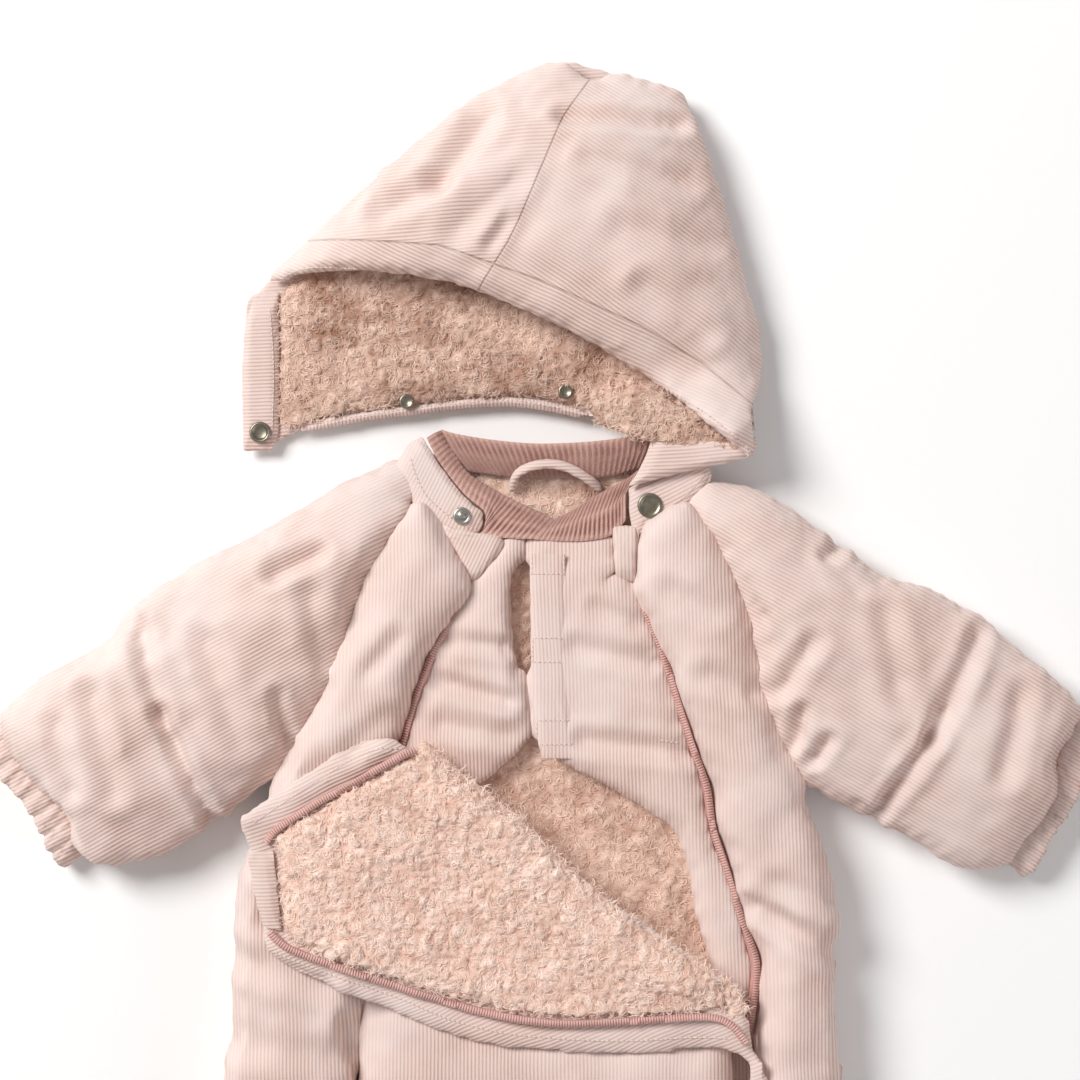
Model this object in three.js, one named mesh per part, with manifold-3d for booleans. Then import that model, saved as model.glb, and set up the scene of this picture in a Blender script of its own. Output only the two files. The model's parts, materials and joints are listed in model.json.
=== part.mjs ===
// A padded corduroy baby snowsuit laid flat on its back, its big front panel turned down.
// Millimetres, z up from the surface it lies on. Right and left are the wearer's.
// Plan tables are in the picture's middle frame; the last lines shift it to the suit's own middle.
import * as THREE from 'three';
import { mergeVertices } from 'three/addons/utils/BufferGeometryUtils.js';
import Module from 'manifold-3d';

const wasm = await Module();
wasm.setup();

// Driving dimensions
const SUIT_MIDDLE = { x: 2.76, y: -162.95 };
const GAP = 0.3;
const HALF_GAP = GAP / 2;
const BACK_SHELL = 12;
const BACK_WALL = 20;
const SLIT = 2.2;
const DRAPE_SLACK = 1;
const FRONT_PUFF = 49;
const PANEL_PUFF = 44;
const STORM_PUFF = 37;
const STORM_LOW = 24;
const SLEEVE_PUFF = 55;
const SLEEVE_SEAM = 22;
const TURNED_SHELL = 8;
const TURNED_PILE = 9.5;
const PRESSED_BY_PANEL = 8;
const ZIP_WIDTH = 5;
const ZIP_TOP = 35;
const HEM_Y = -600;
const CROTCH_Y = -398;
const RIB_RISE = 0.7;
const RIB_WALL = 3.6;
const HOOD_SHELL = 8;
const HOOD_PILE = 16;
const HOOD_PUFF = 50;
const HOOD_ARCH = 17;
const BAND_WALL = 14;
const HOOD_LIFT = 35;
const SNAP_CAP = 15;
const SNAP_STUD = 10.5;
const SNAP_SOCKET = 13;
const SNAP_SMALL = 9;
const SNAP_SUNK = 1.18;

const COLOURS = {
  cord: 0xe3cbc4,
  pile: 0xe6cdbf,
  rib: 0xc08f82,
  zip: 0xd4a29a,
  silver: 0xb9bab2,
  brass: 0x8d8f7c,
};

// Seam lines of the body: x at each level y
const LINES = {
  rightSide: [[56, -85], [23, -74], [12, -84], [-25, -107], [-49, -115], [-83, -128], [-106, -136],
    [-125, -151], [-134, -157], [-179, -178], [-199, -184], [-226, -188], [-276, -189], [-300, -191],
    [-324, -195], [-360, -198], [-400, -199], [-470, -191], [-540, -177], [-600, -161]],
  leftSide: [[56, 107.5], [40, 105.5], [20, 89], [4, 104], [-20, 115], [-47, 127], [-68, 131], [-101, 136],
    [-118, 143], [-134, 152], [-151, 162], [-172, 169], [-193, 176], [-212, 181], [-236, 184],
    [-253, 183], [-273, 181], [-304, 184], [-324, 185], [-360, 187], [-400, 187], [-470, 179],
    [-540, 165], [-600, 149]],
  rightNeck: [[23, -73], [8, -62], [-4, -56], [-16, -48], [-25, -42]],
  leftNeck: [[21, 88], [12, 73], [5, 61], [-3, 60.3], [-26, 58]],
  rightZip: [[-24, -37], [-48, -55], [-69, -65], [-94, -74], [-118, -81], [-160, -92], [-200, -98],
    [-274, -106], [-324, -110], [-400, -114], [-470, -113], [-540, -108], [-600, -105]],
  leftZip: [[-26, 55], [-46, 65], [-69, 74], [-94, 82], [-108, 85], [-133, 96], [-149, 100],
    [-170, 102], [-188, 110], [-205, 114], [-232, 122], [-253, 130], [-273, 129], [-296, 125],
    [-324, 120], [-400, 112], [-470, 104], [-540, 97], [-600, 94]],
  rightInnerLeg: [[-398, -6], [-420, -18], [-470, -34], [-540, -48], [-600, -59]],
  leftInnerLeg: [[-398, -6], [-420, 6], [-470, 22], [-540, 36], [-600, 47]],
  rightGuard: [[7, -58.5], [5, -53], [1.5, -40], [0.3, -21], [-6, -21.5], [-15, -30], [-25, -38.5]],
  rightStorm: [[-2, -9], [-20, -15.5], [-60, -15], [-94, -8], [-120, -6], [-137, -5], [-149, -36]],
  leftStorm: [[-3, -7.5], [-95, -6], [-120, -3], [-132, 4], [-139, 20], [-149, 38], [-161, 59],
    [-170, 74], [-179, 85], [-193, 88], [-218, 89], [-232, 96], [-246, 102], [-261, 104],
    [-285, 112]],
  fold: [[-128, -65], [-143, -43], [-163, -22], [-174, -2], [-191, 12], [-205, 26], [-220, 47],
    [-240, 74], [-259, 102], [-269, 110], [-280, 114]],
};

// Main creases: from one end to the other, how deep and how wide
const CREASES = [
  { from: [-248, -40], to: [-212, -157], deep: 7, wide: 9 },
  { from: [-133, -6], to: [-154, -17], deep: 5, wide: 8 },
  { from: [-135, -30], to: [-133, -72], deep: 3, wide: 9 },
  { from: [-157, -89], to: [-151, -122], deep: 5, wide: 7 },
  { from: [265, -54], to: [204, -165], deep: 7, wide: 9 },
  { from: [173, -9], to: [185, 3], deep: 5, wide: 8 },
  { from: [162, -61], to: [143, -89], deep: 4, wide: 8 },
  { from: [156, -101], to: [152, -125], deep: 4, wide: 6 },
  { from: [172, -118], to: [164, -133], deep: 4, wide: 6 },
  { from: [129, -219], to: [180, -252], deep: 4, wide: 10 },
  { from: [-70, -90], to: [-20, -100], deep: 2.5, wide: 8 },
  { from: [-60, -60], to: [-20, -66], deep: 2, wide: 7 },
  { from: [20, -60], to: [70, -72], deep: 2, wide: 8 },
  { from: [24, -118], to: [84, -128], deep: 2.5, wide: 8 },
  { from: [-103, -280], to: [-112, -324], deep: 4, wide: 7 },
  { from: [-60, 215], to: [-30, 258], deep: 3, wide: 10 },
  { from: [60, 150], to: [100, 122], deep: 3, wide: 10 },
  { from: [14, 253], to: [85, 249], deep: 3, wide: 7 },
  { from: [-195, -420], to: [-120, -440], deep: 3, wide: 10 },
  { from: [182, -425], to: [110, -442], deep: 3, wide: 10 },
  { from: [-170, -520], to: [-75, -534], deep: 4, wide: 9 },
  { from: [158, -522], to: [62, -534], deep: 4, wide: 9 },
];

const TURNED = {
  neckEdge: [[-181, -165], [-177, -178], [-173, -187], [-171, -205], [-167, -225], [-163, -243],
    [-158, -250]],
  upperEdge: [[-181, -165], [-169, -157], [-140, -138], [-113, -121], [-101, -116], [-88, -117],
    [-76, -124]],
  lowerEdge: [[-158, -250], [-145, -258], [-111, -272], [-82, -284], [-51, -297], [-23, -304],
    [5, -305], [47, -308], [88, -305], [114, -304], [129, -313], [140, -330], [126, -352]],
  foldSide: [[-76, -124], [-50, -148], [-32, -163], [-10, -181], [5, -197], [20, -212], [40, -228],
    [66, -247], [93, -266], [104, -279], [113, -290], [121, -303], [124, -325], [126, -352]],
  pileNeck: [[-157, -176], [-153, -190], [-154, -210], [-150, -228], [-143, -240]],
  pileUpper: [[-157, -176], [-134, -161], [-112, -149], [-88, -135], [-70, -127]],
  pileLower: [[-143, -240], [-113, -251], [-76, -264], [-36, -276], [-8, -281], [19, -283],
    [61, -281], [90, -279], [112, -279]],
  pileFold: [[-70, -127], [-43, -143], [-22, -163], [-2, -175], [12, -191], [26, -205], [47, -220],
    [74, -240], [102, -259], [110, -269], [112, -279]],
  zipUpper: [[-163, -180], [-156, -171.5], [-134, -157], [-112, -145], [-88, -131], [-74, -124.5]],
  zipLower: [[-160, -232], [-155, -237.5], [-144, -244], [-113, -255], [-76, -268], [-54, -275],
    [-36, -280], [-8, -285], [19, -287], [61, -285], [88, -283], [104, -283.4], [114, -288],
    [122, -298]],
};
const ROLL_INSET = 9;

const SLEEVES = {
  right: {
    upper: [[-87, 52], [-120, 36], [-147, 22], [-163, 12], [-184, 3], [-212, -12], [-237, -28],
      [-248, -40], [-256, -53], [-265, -56], [-279, -64], [-300, -80], [-324, -99], [-330, -106]],
    lower: [[-157.6, -134], [-163, -143], [-171, -153], [-181, -161], [-196, -172], [-221, -189],
      [-244, -196], [-260, -200], [-274, -195]],
    hem: [[-330, -106], [-321, -127], [-314, -136], [-309, -143], [-301, -152], [-293, -161],
      [-285, -170], [-282, -181], [-274, -195]],
    cuffEdge: [[-343, -121], [-332, -137], [-324, -148], [-314, -157], [-309, -165], [-302, -179],
      [-297, -190], [-289, -201]],
  },
  left: {
    upper: [[106, 38], [125, 36], [157, 21], [176, 6], [188, 3], [205, -14], [226, -19], [257, -35],
      [281, -54], [305, -75], [324, -92], [332, -102]],
    lower: [[162.6, -151], [169, -157], [175, -163], [188, -168], [200, -171], [212, -179],
      [233, -189], [245, -197], [262, -203], [279, -200]],
    hem: [[332, -102], [317, -126], [313, -136], [313, -146], [311, -158], [306, -167], [299, -175],
      [291, -181], [288, -189], [279, -200]],
    cuffEdge: [[349, -119], [336, -139], [324, -158], [321, -165], [311, -178], [306, -187],
      [303, -196], [294, -206]],
  },
};

const HOOD = {
  rim: [[-178, 146], [-166, 153], [-149, 158], [-125, 160], [-81, 155], [-32, 142], [19, 119],
    [63, 94], [97, 73], [128, 48]],
  bandSeam: [[-147, 181], [-120, 180], [-92, 178], [-59, 175], [-30, 165], [-1, 155], [59, 128],
    [97, 106], [134, 76]],
  bandRight: [[-178, 146], [-170, 156], [-158, 170], [-147, 181]],
  bandLeft: [[128, 48], [132, 60], [134, 76]],
  rightSide: [[-147, 181.4], [-125, 199], [-97, 226], [-50, 264], [-24, 280]],
  seamFoot: [-27, 164.4],
  peak: [[-24, 280], [-7, 289], [9, 294], [22, 290], [31, 279]],
  centreSeam: [[-27, 164.4], [-19, 177], [-12, 191], [-1, 217], [14, 253], [26, 271], [31, 279]],
  leftTop: [[31.3, 279], [44, 289], [66, 281], [82, 276], [90, 272]],
  leftSide: [[134, 76.4], [136, 95], [134, 133], [123, 173], [115, 206], [103, 239], [90, 272]],
  backRight: [[-181, 54], [-181.5, 106], [-178.5, 146], [-147, 181], [-97, 226], [-24, 280]],
  backTop: [[-24, 280], [9, 294], [43, 289], [90, 272]],
  backLeft: [[131, 62], [135, 95], [134, 133], [123, 173], [115, 206], [103, 239], [90, 272]],
  neckEdge: [[-181, 54], [-163, 54], [-148, 64], [-125, 68], [-103, 72], [-68, 76], [-48, 79],
    [-14, 80], [17, 75], [30, 71], [52, 67], [67, 63.5], [100, 62], [131, 62]],
  endStripInner: [[-160, 58], [-160, 106], [-157, 140]],
};

// Levels that all pieces of the body share, so that their seams run side by side
const BODY_LEVELS = [56, 40, 20, 0, -20, -42, -66, -92, -120, -148, -174, -200, -226, -254, -282, -310,
  -345, -370, -398, -440, -490, -545, -590, -600];

const clamp = (t) => Math.min(1, Math.max(0, t));
const mix = (a, b, t) => a + (b - a) * t;
const ease = (t) => clamp(t) ** 2 * (3 - 2 * clamp(t));
const rolled = (away, radius) => Math.sqrt(1 - (1 - clamp(away / radius)) ** 2);

// Steps from 0 to 1 that crowd towards both ends, where the padding rolls down to its seam
function steps(count, crowd = 0.7) {
  return Array.from({ length: count + 1 }, (_, i) => {
    const t = i / count;
    return t - crowd * Math.sin(2 * Math.PI * t) / (2 * Math.PI);
  });
}

// x of a seam line at a level, straight between its rows and rounded a little over them
function lineAt(name, y) {
  const rows = LINES[name];
  const at = (level) => {
    const next = rows.findIndex((row) => row[0] <= level);
    if (next === 0) return rows[0][1];
    if (next < 0) return rows[rows.length - 1][1];
    const [above, below] = [rows[next - 1], rows[next]];
    return mix(above[1], below[1], (above[0] - level) / (above[0] - below[0]));
  };
  const near = 3;
  const [top, low] = [rows[0][0], rows[rows.length - 1][0]];
  const room = Math.max(0, Math.min(near, top - y, y - low));
  return (at(y - room) + 2 * at(y) + at(y + room)) / 4;
}

// The same line as its pieces have it: straight from one shared level to the next
function seamAt(name, y) {
  const next = Math.max(1, BODY_LEVELS.findIndex((level) => level <= y));
  const [above, below] = [BODY_LEVELS[next - 1], BODY_LEVELS[next]];
  return mix(lineAt(name, above), lineAt(name, below), clamp((above - y) / (above - below)));
}

function lineXY(name, from, to, count = 40) {
  return Array.from({ length: count + 1 }, (_, i) => {
    const y = mix(from, to, i / count);
    return [lineAt(name, y), y];
  });
}

function curve(points) {
  return new THREE.SplineCurve(points.map(([x, y]) => new THREE.Vector2(x, y)));
}

function sampled(points, count = 40) {
  return curve(points).getSpacedPoints(count).map((p) => [p.x, p.y]);
}

function toLine(x, y, points) {
  let least = Infinity;
  for (let i = 1; i < points.length; i += 1) {
    const [ax, ay] = points[i - 1];
    const [bx, by] = points[i];
    const long = (bx - ax) ** 2 + (by - ay) ** 2 || 1e-9;
    const t = clamp(((x - ax) * (bx - ax) + (y - ay) * (by - ay)) / long);
    least = Math.min(least, Math.hypot(x - mix(ax, bx, t), y - mix(ay, by, t)));
  }
  return least;
}

function inside(x, y, outline) {
  let odd = false;
  outline.forEach(([ax, ay], i) => {
    const [bx, by] = outline[(i + 1) % outline.length];
    if (ay > y !== by > y && x < ax + (bx - ax) * (y - ay) / (by - ay)) odd = !odd;
  });
  return odd;
}

function creased(x, y) {
  let deep = 0;
  for (const crease of CREASES) {
    const away = toLine(x, y, [crease.from, crease.to]);
    deep += crease.deep * Math.exp(-((away / crease.wide) ** 2));
  }
  return deep;
}

// A patch of cloth in plan, held by its four edge curves
function patch({ low, high, start, end }) {
  const [lowCurve, highCurve, startCurve, endCurve] = [low, high, start, end]
    .map((edge) => (Array.isArray(edge) ? curve(edge) : edge));
  return (u, v) => {
    const l = lowCurve.getPointAt(u);
    const h = highCurve.getPointAt(u);
    const s = startCurve.getPointAt(v);
    const e = endCurve.getPointAt(v);
    const corner = (axis) => mix(
      mix(low[0][axis], low[low.length - 1][axis], u),
      mix(high[0][axis], high[high.length - 1][axis], u),
      v,
    );
    return [
      mix(l.x, h.x, v) + mix(s.x, e.x, u) - corner(0),
      mix(l.y, h.y, v) + mix(s.y, e.y, u) - corner(1),
    ];
  };
}

// A patch between two seam lines, from one level down to another
function between(from, to) {
  return (u, y) => [mix(from(y), to(y), u), y];
}
const bodyLevels = (top, low, extra = []) => [
  top,
  ...[...BODY_LEVELS, ...extra].filter((y) => y < top - 0.5 && y > low + 0.5).sort((a, b) => b - a),
  low,
];

function material(finish) {
  const metal = finish === 'silver' || finish === 'brass';
  return new THREE.MeshStandardMaterial({
    color: COLOURS[finish],
    roughness: metal ? 0.4 : 0.9,
    metalness: metal ? 0.9 : 0,
  });
}

const suit = new THREE.Group();

function add(name, geometry, finish) {
  const mesh = new THREE.Mesh(geometry, material(finish));
  mesh.name = name;
  suit.add(mesh);
  return mesh;
}

function solid(positions, triangles) {
  const geometry = new THREE.BufferGeometry();
  geometry.setAttribute('position', new THREE.Float32BufferAttribute(positions.flat(), 3));
  geometry.setIndex(triangles.flat());
  return geometry;
}

// A closed wall over plan patches: top and bottom are heights at (x, y, distance to the outline).
// Patches that share an edge's points become one piece; edges that none shares get a side wall.
function slab(patches, top, bottom) {
  const places = new Map();
  const plan = [];
  const cells = [];
  const corner = ([x, y]) => {
    const key = `${x.toFixed(2)} ${y.toFixed(2)}`;
    if (!places.has(key)) {
      places.set(key, plan.length);
      plan.push([x, y]);
    }
    return places.get(key);
  };
  for (const { at, across, along } of patches) {
    const ids = along.map((v) => across.map((u) => corner(at(u, v))));
    const pieces = [];
    for (let j = 1; j < along.length; j += 1) {
      for (let i = 1; i < across.length; i += 1) {
        const quad = [ids[j - 1][i - 1], ids[j - 1][i], ids[j][i], ids[j][i - 1]];
        for (const three of [[0, 1, 2], [0, 2, 3]]) {
          const triangle = three.map((k) => quad[k]);
          if (new Set(triangle).size === 3) pieces.push(triangle);
        }
      }
    }
    const area = pieces.reduce((sum, [a, b, c]) => sum
      + (plan[b][0] - plan[a][0]) * (plan[c][1] - plan[a][1])
      - (plan[c][0] - plan[a][0]) * (plan[b][1] - plan[a][1]), 0);
    if (area < 0) pieces.forEach((triangle) => triangle.reverse());
    cells.push(...pieces);
  }
  const edges = new Map();
  for (const [a, b, c] of cells) {
    for (const [from, to] of [[a, b], [b, c], [c, a]]) {
      if (!edges.delete(`${to} ${from}`)) edges.set(`${from} ${to}`, [from, to]);
    }
  }
  const rim = [...edges.values()];
  const away = plan.map(([x, y]) => rim.reduce(
    (least, [a, b]) => Math.min(least, toLine(x, y, [plan[a], plan[b]])),
    Infinity,
  ));
  const positions = [
    ...plan.map(([x, y], i) => [x, y, top(x, y, away[i])]),
    ...plan.map(([x, y], i) => [x, y, bottom(x, y, away[i])]),
  ];
  const under = plan.length;
  const triangles = cells.flatMap(([a, b, c]) => [[a, b, c], [c + under, b + under, a + under]]);
  for (const [a, b] of rim) {
    triangles.push([a + under, b + under, b], [a + under, b, a]);
  }
  return solid(positions, triangles);
}

const one = (at, across, along) => [{ at, across, along }];

// The suit's outer side, height by height, as the padding swells between seams
const SEAMS = {
  rightSide: { line: lineXY('rightSide', -134, HEM_Y), low: 27, roll: 34 },
  leftSide: { line: lineXY('leftSide', -151, HEM_Y), low: 27, roll: 34 },
  rightRaglan: { line: lineXY('rightSide', 23, -134), low: 36, roll: 17 },
  leftRaglan: { line: lineXY('leftSide', 20, -151), low: 36, roll: 17 },
  rightZip: { line: lineXY('rightZip', -24, HEM_Y), low: 35, roll: 15 },
  leftZip: { line: lineXY('leftZip', -26, HEM_Y), low: 35, roll: 15 },
  rightInner: { line: lineXY('rightInnerLeg', CROTCH_Y, HEM_Y), low: 27, roll: 28 },
  leftInner: { line: lineXY('leftInnerLeg', CROTCH_Y, HEM_Y), low: 27, roll: 28 },
  rightNeck: { line: lineXY('rightNeck', 23, -25), low: 33, roll: 12 },
  leftNeck: { line: lineXY('leftNeck', 21, -26), low: 33, roll: 12 },
};
const turnedOutline = [
  ...sampled(TURNED.upperEdge),
  ...sampled(TURNED.foldSide),
  ...sampled(TURNED.lowerEdge).reverse(),
  ...sampled(TURNED.neckEdge).reverse(),
];

function pressed(x, y) {
  if (!inside(x, y, turnedOutline)) return 0;
  return PRESSED_BY_PANEL * ease(toLine(x, y, [...turnedOutline, turnedOutline[0]]) / 14);
}

function swollen(puff, seams) {
  return (x, y) => {
    const hem = mix(34, puff, ease((y - HEM_Y) / 45));
    const full = Math.min(puff, hem) - pressed(x, y);
    const high = seams.reduce((least, name) => {
      const { line, low, roll } = SEAMS[name];
      return Math.min(least, mix(Math.min(low, full), full, rolled(toLine(x, y, line), roll)));
    }, full);
    return Math.max(high - creased(x, y), BACK_WALL + 6);
  };
}

const frontRightTop = swollen(FRONT_PUFF, ['rightSide', 'rightRaglan', 'rightZip', 'rightNeck']);
const frontLeftTop = swollen(FRONT_PUFF, ['leftSide', 'leftRaglan', 'leftZip', 'leftNeck']);
const panelTop = swollen(PANEL_PUFF, ['rightZip', 'leftZip', 'rightInner', 'leftInner']);
const stormTop = (x, y, away = 9) => mix(STORM_LOW + 8, STORM_PUFF, rolled(away, 9))
  - creased(x, y);
const overBack = (x, y, away) => BACK_WALL + GAP + SLIT * ease((away - 4) / 10);

// Back: one padded wall with both back legs, hollowed where its pile lining lies
const LINING_TOP = 40;
const LINING_END = -300;
const LINING_INSET = 17;
const liningLeft = (y) => seamAt('leftSide', y) - LINING_INSET;
const liningRight = (y) => seamAt('rightSide', y) + LINING_INSET;

function backTop(x, y) {
  const fromSide = Math.min(x - liningRight(y), liningLeft(y) - x);
  const fromEnd = Math.min(LINING_TOP - y, y - LINING_END);
  const wall = mix(15, BACK_WALL, ease((y - HEM_Y) / 40));
  return Math.min(fromSide, fromEnd) > -2 ? BACK_SHELL : wall;
}
const backBottom = (x, y, away) => 11 * (1 - rolled(away, 12));
const halfWay = (y) => (seamAt('rightSide', y) + seamAt('leftSide', y)) / 2;
const centre = (y) => mix(-6, halfWay(y), ease((y - CROTCH_Y) / 60));

// Half of the back, its columns by distance from the side, so that the hollow has a clean edge
const BACK_COLUMNS = [0, 4, LINING_INSET - 2.6, LINING_INSET - 1.8, 45, 80];
const HELD = 3;
function backHalf(side, sign) {
  const inner = `${side}InnerLeg`;
  const stop = (y) => (y < CROTCH_Y ? seamAt(inner, y) : centre(y));
  const start = (y) => seamAt(`${side}Side`, y);
  const last = BACK_COLUMNS.length - 1;
  const widest = BACK_COLUMNS[last];
  return {
    at: (u, y) => {
      const width = Math.abs(stop(y) - start(y));
      const mark = BACK_COLUMNS[u];
      const held = BACK_COLUMNS[HELD];
      const away = u <= HELD ? mark : mix(held, width, (mark - held) / (widest - held));
      return [u === last ? stop(y) : start(y) - sign * away, y];
    },
    across: BACK_COLUMNS.map((_, i) => i),
    along: bodyLevels(56, HEM_Y, [LINING_TOP + 1.2, LINING_TOP + 2, LINING_END - 1.2, LINING_END - 2]),
  };
}
add('back_panel', slab([backHalf('right', -1), backHalf('left', 1)], backTop, backBottom), 'cord');
add('back_lining', slab(
  one(between(liningRight, liningLeft), steps(6, 0.3), bodyLevels(LINING_TOP, LINING_END)),
  (x, y, away) => mix(BACK_WALL - 2, BACK_WALL, rolled(away, 5)),
  () => BACK_SHELL + GAP,
), 'pile');

// Side fronts, from the neck and raglan seams down the outer halves of the front legs
const RIGHT_ZIP_END = -160;
const LEFT_ZIP_END = -300;
const levelBelow = (end) => BODY_LEVELS.find((level) => level <= end);
const zipClear = (y, end) => (y >= levelBelow(end) ? ZIP_WIDTH / 2 + GAP : HALF_GAP);
const rightOuter = (y) => seamAt('rightSide', y);
const rightInner = (y) => (y > -25
  ? Math.max(lineAt('rightNeck', y) - HALF_GAP, rightOuter(y) + 0.5)
  : seamAt('rightZip', y) - zipClear(y, RIGHT_ZIP_END));
const leftOuter = (y) => seamAt('leftSide', y);
const leftInner = (y) => (y > -26
  ? Math.min(lineAt('leftNeck', y) + HALF_GAP, leftOuter(y) - 0.5)
  : seamAt('leftZip', y) + zipClear(y, LEFT_ZIP_END));
add('front_side_right', slab(
  one(between(rightOuter, rightInner), steps(7, 0.75), bodyLevels(20, HEM_Y, [8, -25.4, -32])),
  frontRightTop,
  overBack,
), 'cord');
add('front_side_left', slab(
  one(between(leftInner, leftOuter), steps(7, 0.75), bodyLevels(20, HEM_Y, [8, -27.4, -32])),
  frontLeftTop,
  overBack,
), 'cord');

// What stays in place of the big front panel: under its own turned-down top, then both inner legs
const PANEL_TOP = -151;
const panelLeftEdge = (y) => {
  const fold = lineAt('fold', y) - ROLL_INSET - 1;
  const zip = seamAt('leftZip', y) - zipClear(y, LEFT_ZIP_END);
  return mix(Math.min(zip, mix(zip, 106, ease((y + 300) / 20))), fold, ease((y + 292) / 6));
};
const panelRightEdge = (y) => seamAt('rightZip', y) + zipClear(y, RIGHT_ZIP_END);
function panelHalf(side) {
  const outer = side === 'right' ? panelRightEdge : panelLeftEdge;
  const middle = (y) => mix(-6, (panelRightEdge(y) + panelLeftEdge(y)) / 2, ease((y - CROTCH_Y) / 60));
  return {
    at: (u, y) => {
      const stop = y < CROTCH_Y ? seamAt(`${side}InnerLeg`, y) : middle(y);
      return [u === 1 ? stop : mix(outer(y), stop, u), y];
    },
    across: [0, 0.05, 0.18, 0.5, 0.82, 1],
    along: bodyLevels(PANEL_TOP, HEM_Y, [-286, -292]),
  };
}
add('centre_panel', slab([panelHalf('right'), panelHalf('left')], panelTop, overBack), 'cord');

// Storm flaps under the big panel, and the hook-and-loop strip on the left one
const stormSteps = steps(5, 0.6);
const underStorm = () => STORM_LOW - 1.4;
add('storm_flap_right', slab(
  one(between(
    (y) => (y > -25 ? lineAt('rightGuard', y) + 0.6 : seamAt('rightZip', y) + ZIP_WIDTH / 2 + GAP),
    (y) => lineAt('rightStorm', y),
  ), stormSteps, bodyLevels(-3, -149, [-8, -14, -24.6, -25.4])),
  stormTop,
  underStorm,
), 'cord');
add('storm_flap_left', slab(
  one(between(
    (y) => lineAt('leftStorm', y),
    (y) => (y > -26.5 ? 42.5 : seamAt('leftZip', y) - ZIP_WIDTH / 2 - GAP),
  ), stormSteps, bodyLevels(-3, -280, [-26, -27.4, -134])),
  stormTop,
  underStorm,
), 'cord');
const onStorm = (x, y) => stormTop(x, y) + 3 * GAP;
add('placket', slab(
  one(between(
    (y) => lineAt('leftStorm', Math.max(y, -128)) + 1.2 - 1.5 * ease((-y - 120) / 12),
    (y) => lineAt('leftStorm', Math.max(y, -120)) + 22.5 + 1.5 * ease((-y - 100) / 30),
  ), steps(4, 0.4), bodyLevels(-8, -131)),
  (x, y, away) => onStorm(x, y) + 0.6 + 1.6 * rolled(away, 3),
  onStorm,
), 'cord');

// Tape with its coil along a path, on a given height
function ribbon(name, points, wide, base, high, count) {
  const path = curve(points);
  const at = (u, v) => {
    const p = path.getPointAt(v);
    const t = path.getTangentAt(v);
    const off = mix(-wide / 2, wide / 2, u);
    return [p.x - t.y * off, p.y + t.x * off];
  };
  add(name, slab(
    one(at, [0, 0.5, 1], steps(count, 0)),
    (x, y, away) => base(x, y) + mix(high * 0.5, high, clamp(away / (0.4 * wide))),
    (x, y) => base(x, y),
  ), 'zip');
}
for (const [side, top, end] of [['right', -25.4, RIGHT_ZIP_END], ['left', -27.4, LEFT_ZIP_END]]) {
  const middle = (y) => seamAt(`${side}Zip`, y);
  add(`zip_body_${side}`, slab(
    one(between((y) => middle(y) - ZIP_WIDTH / 2, (y) => middle(y) + ZIP_WIDTH / 2), [0, 0.5, 1],
      bodyLevels(top, end, [-32])),
    (x, y, away) => ZIP_TOP - 2 + Math.min(away, 2),
    () => STORM_LOW + 2,
  ), 'zip');
}

// Cord covers at the tops of the body zips
const guardTop = (x, y, away) => mix(33, 37.5, rolled(away, 4));
const GUARDS = {
  right: {
    from: (y) => lineAt('rightNeck', y) + 1,
    to: (y) => lineAt('rightGuard', y),
    rows: [7, 5, 3, 1.5, 0.3, -3, -8, -14, -20, -24.6],
  },
  left: {
    from: (y) => mix(45.5, 43.9, ease((y + 26) / 12)),
    to: (y) => Math.min(lineAt('leftNeck', y) - 0.5, 59.5),
    rows: [3.5, -3, -10, -18, -25.4],
  },
};
for (const [side, { from, to, rows }] of Object.entries(GUARDS)) {
  add(`zip_guard_${side}`, slab(one(between(from, to), steps(5, 0.3), rows), guardTop,
    () => STORM_LOW), 'cord');
}

// The front panel's top, turned down over the wearer's right: cord below, pile above
function beneath(x, y) {
  if (y > 22) return BACK_WALL;
  const rightZip = seamAt('rightZip', y);
  const leftZip = seamAt('leftZip', y);
  if (x < rightZip - 3) return frontRightTop(x, y);
  if (x > leftZip + 3) return frontLeftTop(x, y);
  if (Math.abs(x - rightZip) <= 3 || Math.abs(x - leftZip) <= 3) return ZIP_TOP;
  return y > PANEL_TOP + 1 ? STORM_PUFF : panelTop(x, y);
}
// The turned panel drapes over what is beneath it: the highest point near each place of a net
const NET = 18;
const net = new Map();
function netHeight(i, j) {
  const key = `${i} ${j}`;
  if (!net.has(key)) {
    let high = 0;
    for (const reach of [0, NET / 2, NET]) {
      for (let k = 0; k < 8; k += 1) {
        const angle = k * Math.PI / 4;
        const [x, y] = [i * NET + reach * Math.cos(angle), j * NET + reach * Math.sin(angle)];
        high = Math.max(high, beneath(x, y));
      }
    }
    net.set(key, high);
  }
  return net.get(key);
}
function turnedBase(x, y) {
  const [i, j] = [Math.floor(x / NET), Math.floor(y / NET)];
  const [s, t] = [ease(x / NET - i), ease(y / NET - j)];
  return mix(
    mix(netHeight(i, j), netHeight(i + 1, j), s),
    mix(netHeight(i, j + 1), netHeight(i + 1, j + 1), s),
    t,
  ) + GAP + DRAPE_SLACK;
}
const shellTop = (x, y) => turnedBase(x, y) + TURNED_SHELL;
const onShell = (x, y) => shellTop(x, y) + 2 * GAP;
add('panel_turned', slab(
  one(patch({
    low: TURNED.upperEdge,
    high: TURNED.lowerEdge,
    start: TURNED.neckEdge,
    end: TURNED.foldSide,
  }), steps(15, 0.3), steps(9, 0.6)),
  (x, y, away) => turnedBase(x, y) + mix(4.5, TURNED_SHELL, rolled(away, 5)),
  turnedBase,
), 'cord');
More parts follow.
